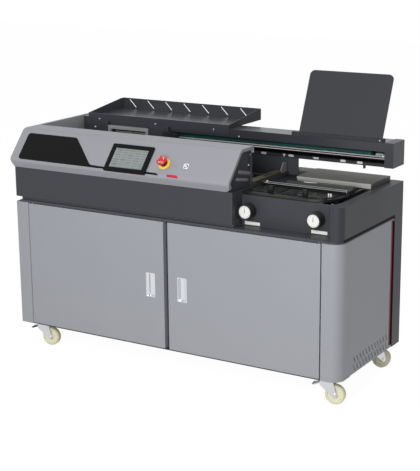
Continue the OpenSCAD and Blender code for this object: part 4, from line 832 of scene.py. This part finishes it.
for label, x, body in (("left", 385, "left_gauge"), ("right", 526, "right_gauge")):
    scale = rounded([(x, 649), (x + 3, 649), (x + 3, 670), (x, 670)], [0.6] * 4)
    plate("stop_scale_" + label, scale, 0, 0.8, upright(116), 0.2, black_oxide, body)
fold = rounded([(108, 647), (133, 647), (133, 711), (108, 711)], [1] * 4)
plate("screen_fold", fold, 0, 1.5, upright(442.4), 0.3, charcoal_coat, "frame")
back = rounded([(297, 523.5), (670, 523.5), (670, 632), (297, 632)], [2] * 4)
plate("platform_back", back, 0, 1.5, upright(532), 0.3, charcoal_coat, "frame")
for label, places in (("left", (366, 406)), ("right", (506, 547))):
    screws("gauge_%s_screws" % label, [(at(x, 110, 648.3), up) for x in places],
           0.0045, black_oxide, label + "_gauge")

# ---- Knobs, dials and label plates ----
# Black fluted knobs with a white enamelled dial let into the face: fine graduations round
# the rim and a pointer line. A bare white plate sits on the panel below each.

ink = moulded("dial_ink", tone(30, 30, 32), 0.5, 0.2)
dress(black_plastic, "knob_left", "knob_right")

tick_tree = Shaper("dial_ticks", {
    "Count": ("Int", 50), "Radius": ("Float", 0.0195), "Tick length": ("Float", 0.002),
    "Tick width": ("Float", 0.0004), "Finish": ("Material", None)})
circle = tick_tree.add("GeometryNodeMeshCircle", {}, {
    "Vertices": tick_tree.given("Count"), "Radius": tick_tree.given("Radius")})
stroke = tick_tree.add("GeometryNodeMeshCube", {}, {
    "Size": tick_tree.add("ShaderNodeCombineXYZ", {}, {
        "X": tick_tree.given("Tick width"), "Y": 0.0002, "Z": tick_tree.given("Tick length")})})
radial = tick_tree.add("FunctionNodeAlignRotationToVector", {"axis": "Z"}, {
    "Vector": tick_tree.add("GeometryNodeInputPosition")})
dial_ring = tick_tree.add("GeometryNodeInstanceOnPoints", {}, {
    "Points": circle, "Instance": stroke, "Rotation": radial})
standing = tick_tree.add("GeometryNodeTransform", {}, {
    "Geometry": dial_ring, "Rotation": (math.radians(90), 0, 0)})
place_each = tick_tree.add("GeometryNodeInstanceOnPoints", {}, {
    "Points": tick_tree.given("Geometry"), "Instance": standing})
tick_tree.close(place_each, tick_tree.given("Finish"))

knob_height, dial_face = 580, 33
dial_profile = [(0.0, 0.0), (0.0238, 0.0), (0.0238, 0.0022), (0.0230, 0.0030), (0.0, 0.0030)]
pointer = [(-1.2, -3), (1.2, -3), (0.7, 15), (-0.7, 15)]
blank = rounded([(-32, -6), (32, -6), (32, 6), (-32, 6)], [1.5] * 4)
for label, x, plate_x in (("left", 322, 333), ("right", 602, 608)):
    body = label + "_knob"
    face = turned("dial_" + label, dial_profile, at(x, dial_face + 3, knob_height), front, 64)
    new_piece("dial_" + label, face, enamel, body)
    seed = spots("ticks_" + label, [(at(x, dial_face - 0.1, knob_height), front)])
    tick_tree.grow("dial_ticks_" + label, seed, {
        "Count": 50, "Radius": 0.0200, "Tick length": 0.0026, "Tick width": 0.0005, "Finish": ink},
        ink, body)
    plate("dial_pointer_" + label, pointer, 0, 0.3, upright(dial_face, x, knob_height), 0,
          ink, body)
    plate("label_plate_" + label, blank, 0, 1.0, upright(73, plate_x, 531), 0.2,
          enamel, "frame")

# ---- Inside the cabinet ----
# A black moulded waste bin with a blower on its lid.

dress(black_plastic, "dust_bin")

# ---- Floor, light and camera ----
# A pale studio sweep, three broad soft lamps and the photograph's viewpoint, above the
# machine's right front corner.


def studio(name, colour, camera_share):
    """A pale surface that shows nearly white to the camera and keeps the object's shadow."""
    sweep = Finish(name, Roughness=0.9, Specular_IOR_Level=0.1)
    soft = sweep.noise(0.6, 2.0)
    sweep.feed("Base Color", sweep.blend(soft, colour, shade(colour, 0.985)))
    seen, glossy, clear = (sweep.node("ShaderNodeLightPath", out=ray) for ray in (0, 3, 6))
    glow = sweep.tree.nodes.new("ShaderNodeEmission")
    glow.inputs["Color"].default_value = (1, 1, 1, 1)
    glow.inputs["Strength"].default_value = 1.12
    mixed = sweep.tree.nodes.new("ShaderNodeMixShader")
    direct = sweep.node(
        "ShaderNodeMath", {"operation": "MINIMUM"}, {0: seen + glossy + clear, 1: 1.0})
    share = direct * camera_share
    sweep.tree.links.new(share.socket, mixed.inputs[0])
    sweep.tree.links.new(sweep.shader.outputs[0], mixed.inputs[1])
    sweep.tree.links.new(glow.outputs[0], mixed.inputs[2])
    surface = sweep.tree.nodes["Material Output"].inputs["Surface"]
    sweep.tree.links.new(mixed.outputs[0], surface)
    return sweep.material


floor_mesh = bpy.data.meshes.new("floor")
sweep_shape = bmesh.new()
bmesh.ops.create_grid(sweep_shape, x_segments=8, y_segments=8, size=12.0)
sweep_shape.to_mesh(floor_mesh)
sweep_shape.free()
floor = bpy.data.objects.new("floor", floor_mesh)
bpy.context.scene.collection.objects.link(floor)
floor_mesh.materials.append(studio("studio_floor", (0.62, 0.62, 0.62, 1), 0.86))

world = bpy.data.worlds.new("studio")
bpy.context.scene.world = world
world.use_nodes = True
sky = world.node_tree
backdrop = sky.nodes["Background"]
backdrop.inputs["Color"].default_value = (1, 1, 1, 1)
lit = sky.nodes.new("ShaderNodeBackground")
lit.inputs["Color"].default_value = (0.96, 0.98, 1.0, 1)
lit.inputs["Strength"].default_value = 0.28
path = sky.nodes.new("ShaderNodeLightPath")
seen_or_shiny = sky.nodes.new("ShaderNodeMath")
seen_or_shiny.operation = "MAXIMUM"
either = sky.nodes.new("ShaderNodeMath")
either.operation = "MAXIMUM"
choose = sky.nodes.new("ShaderNodeMixShader")
sky.links.new(path.outputs["Is Camera Ray"], seen_or_shiny.inputs[0])
sky.links.new(path.outputs["Is Glossy Ray"], seen_or_shiny.inputs[1])
sky.links.new(seen_or_shiny.outputs[0], either.inputs[0])
sky.links.new(path.outputs["Is Transmission Ray"], either.inputs[1])
sky.links.new(either.outputs[0], choose.inputs[0])
sky.links.new(lit.outputs[0], choose.inputs[1])
sky.links.new(backdrop.outputs[0], choose.inputs[2])
sky.links.new(choose.outputs[0], sky.nodes["World Output"].inputs["Surface"])

for name, place, target, size, watts in (
        ("key_light", (1.2, -4.3, 1.9), (0, 0, 0.5), 2.2, 148),
        ("fill_light", (-3.2, -2.6, 2.2), (0, 0, 0.5), 2.4, 14),
        ("top_light", (0.2, 0.6, 3.8), (0, 0, 0.8), 3.0, 34)):
    lamp = bpy.data.lights.new(name, "AREA")
    lamp.shape = "SQUARE"
    lamp.size = size
    lamp.energy = watts
    holder = bpy.data.objects.new(name, lamp)
    holder.location = place
    holder.rotation_euler = (Vector(target) - Vector(place)).to_track_quat("-Z", "Y").to_euler()
    bpy.context.scene.collection.objects.link(holder)

yaw, pitch, roll = (math.radians(angle) for angle in (31.588, 14.436, -0.561))
ahead = Vector((-math.sin(yaw) * math.cos(pitch), math.cos(yaw) * math.cos(pitch), -math.sin(pitch)))
level = Vector((math.cos(yaw), math.sin(yaw), 0))
rise = level.cross(ahead)
across = level * math.cos(roll) + rise * math.sin(roll)
rise = rise * math.cos(roll) - level * math.sin(roll)
lens = bpy.data.cameras.new("camera")
lens.sensor_fit = "HORIZONTAL"
lens.sensor_width = 36
focal_px, photo_width_px = 1263.3, 420
lens.lens = focal_px / photo_width_px * lens.sensor_width
lens.clip_end = 60
camera = bpy.data.objects.new("camera", lens)
stand = Matrix((across, rise, -ahead)).transposed().to_4x4()
stand.translation = at(2566, -3857.8, 1649.7)
camera.matrix_world = stand
bpy.context.scene.collection.objects.link(camera)
bpy.context.scene.camera = camera
bpy.context.scene.view_settings.view_transform = "Standard"
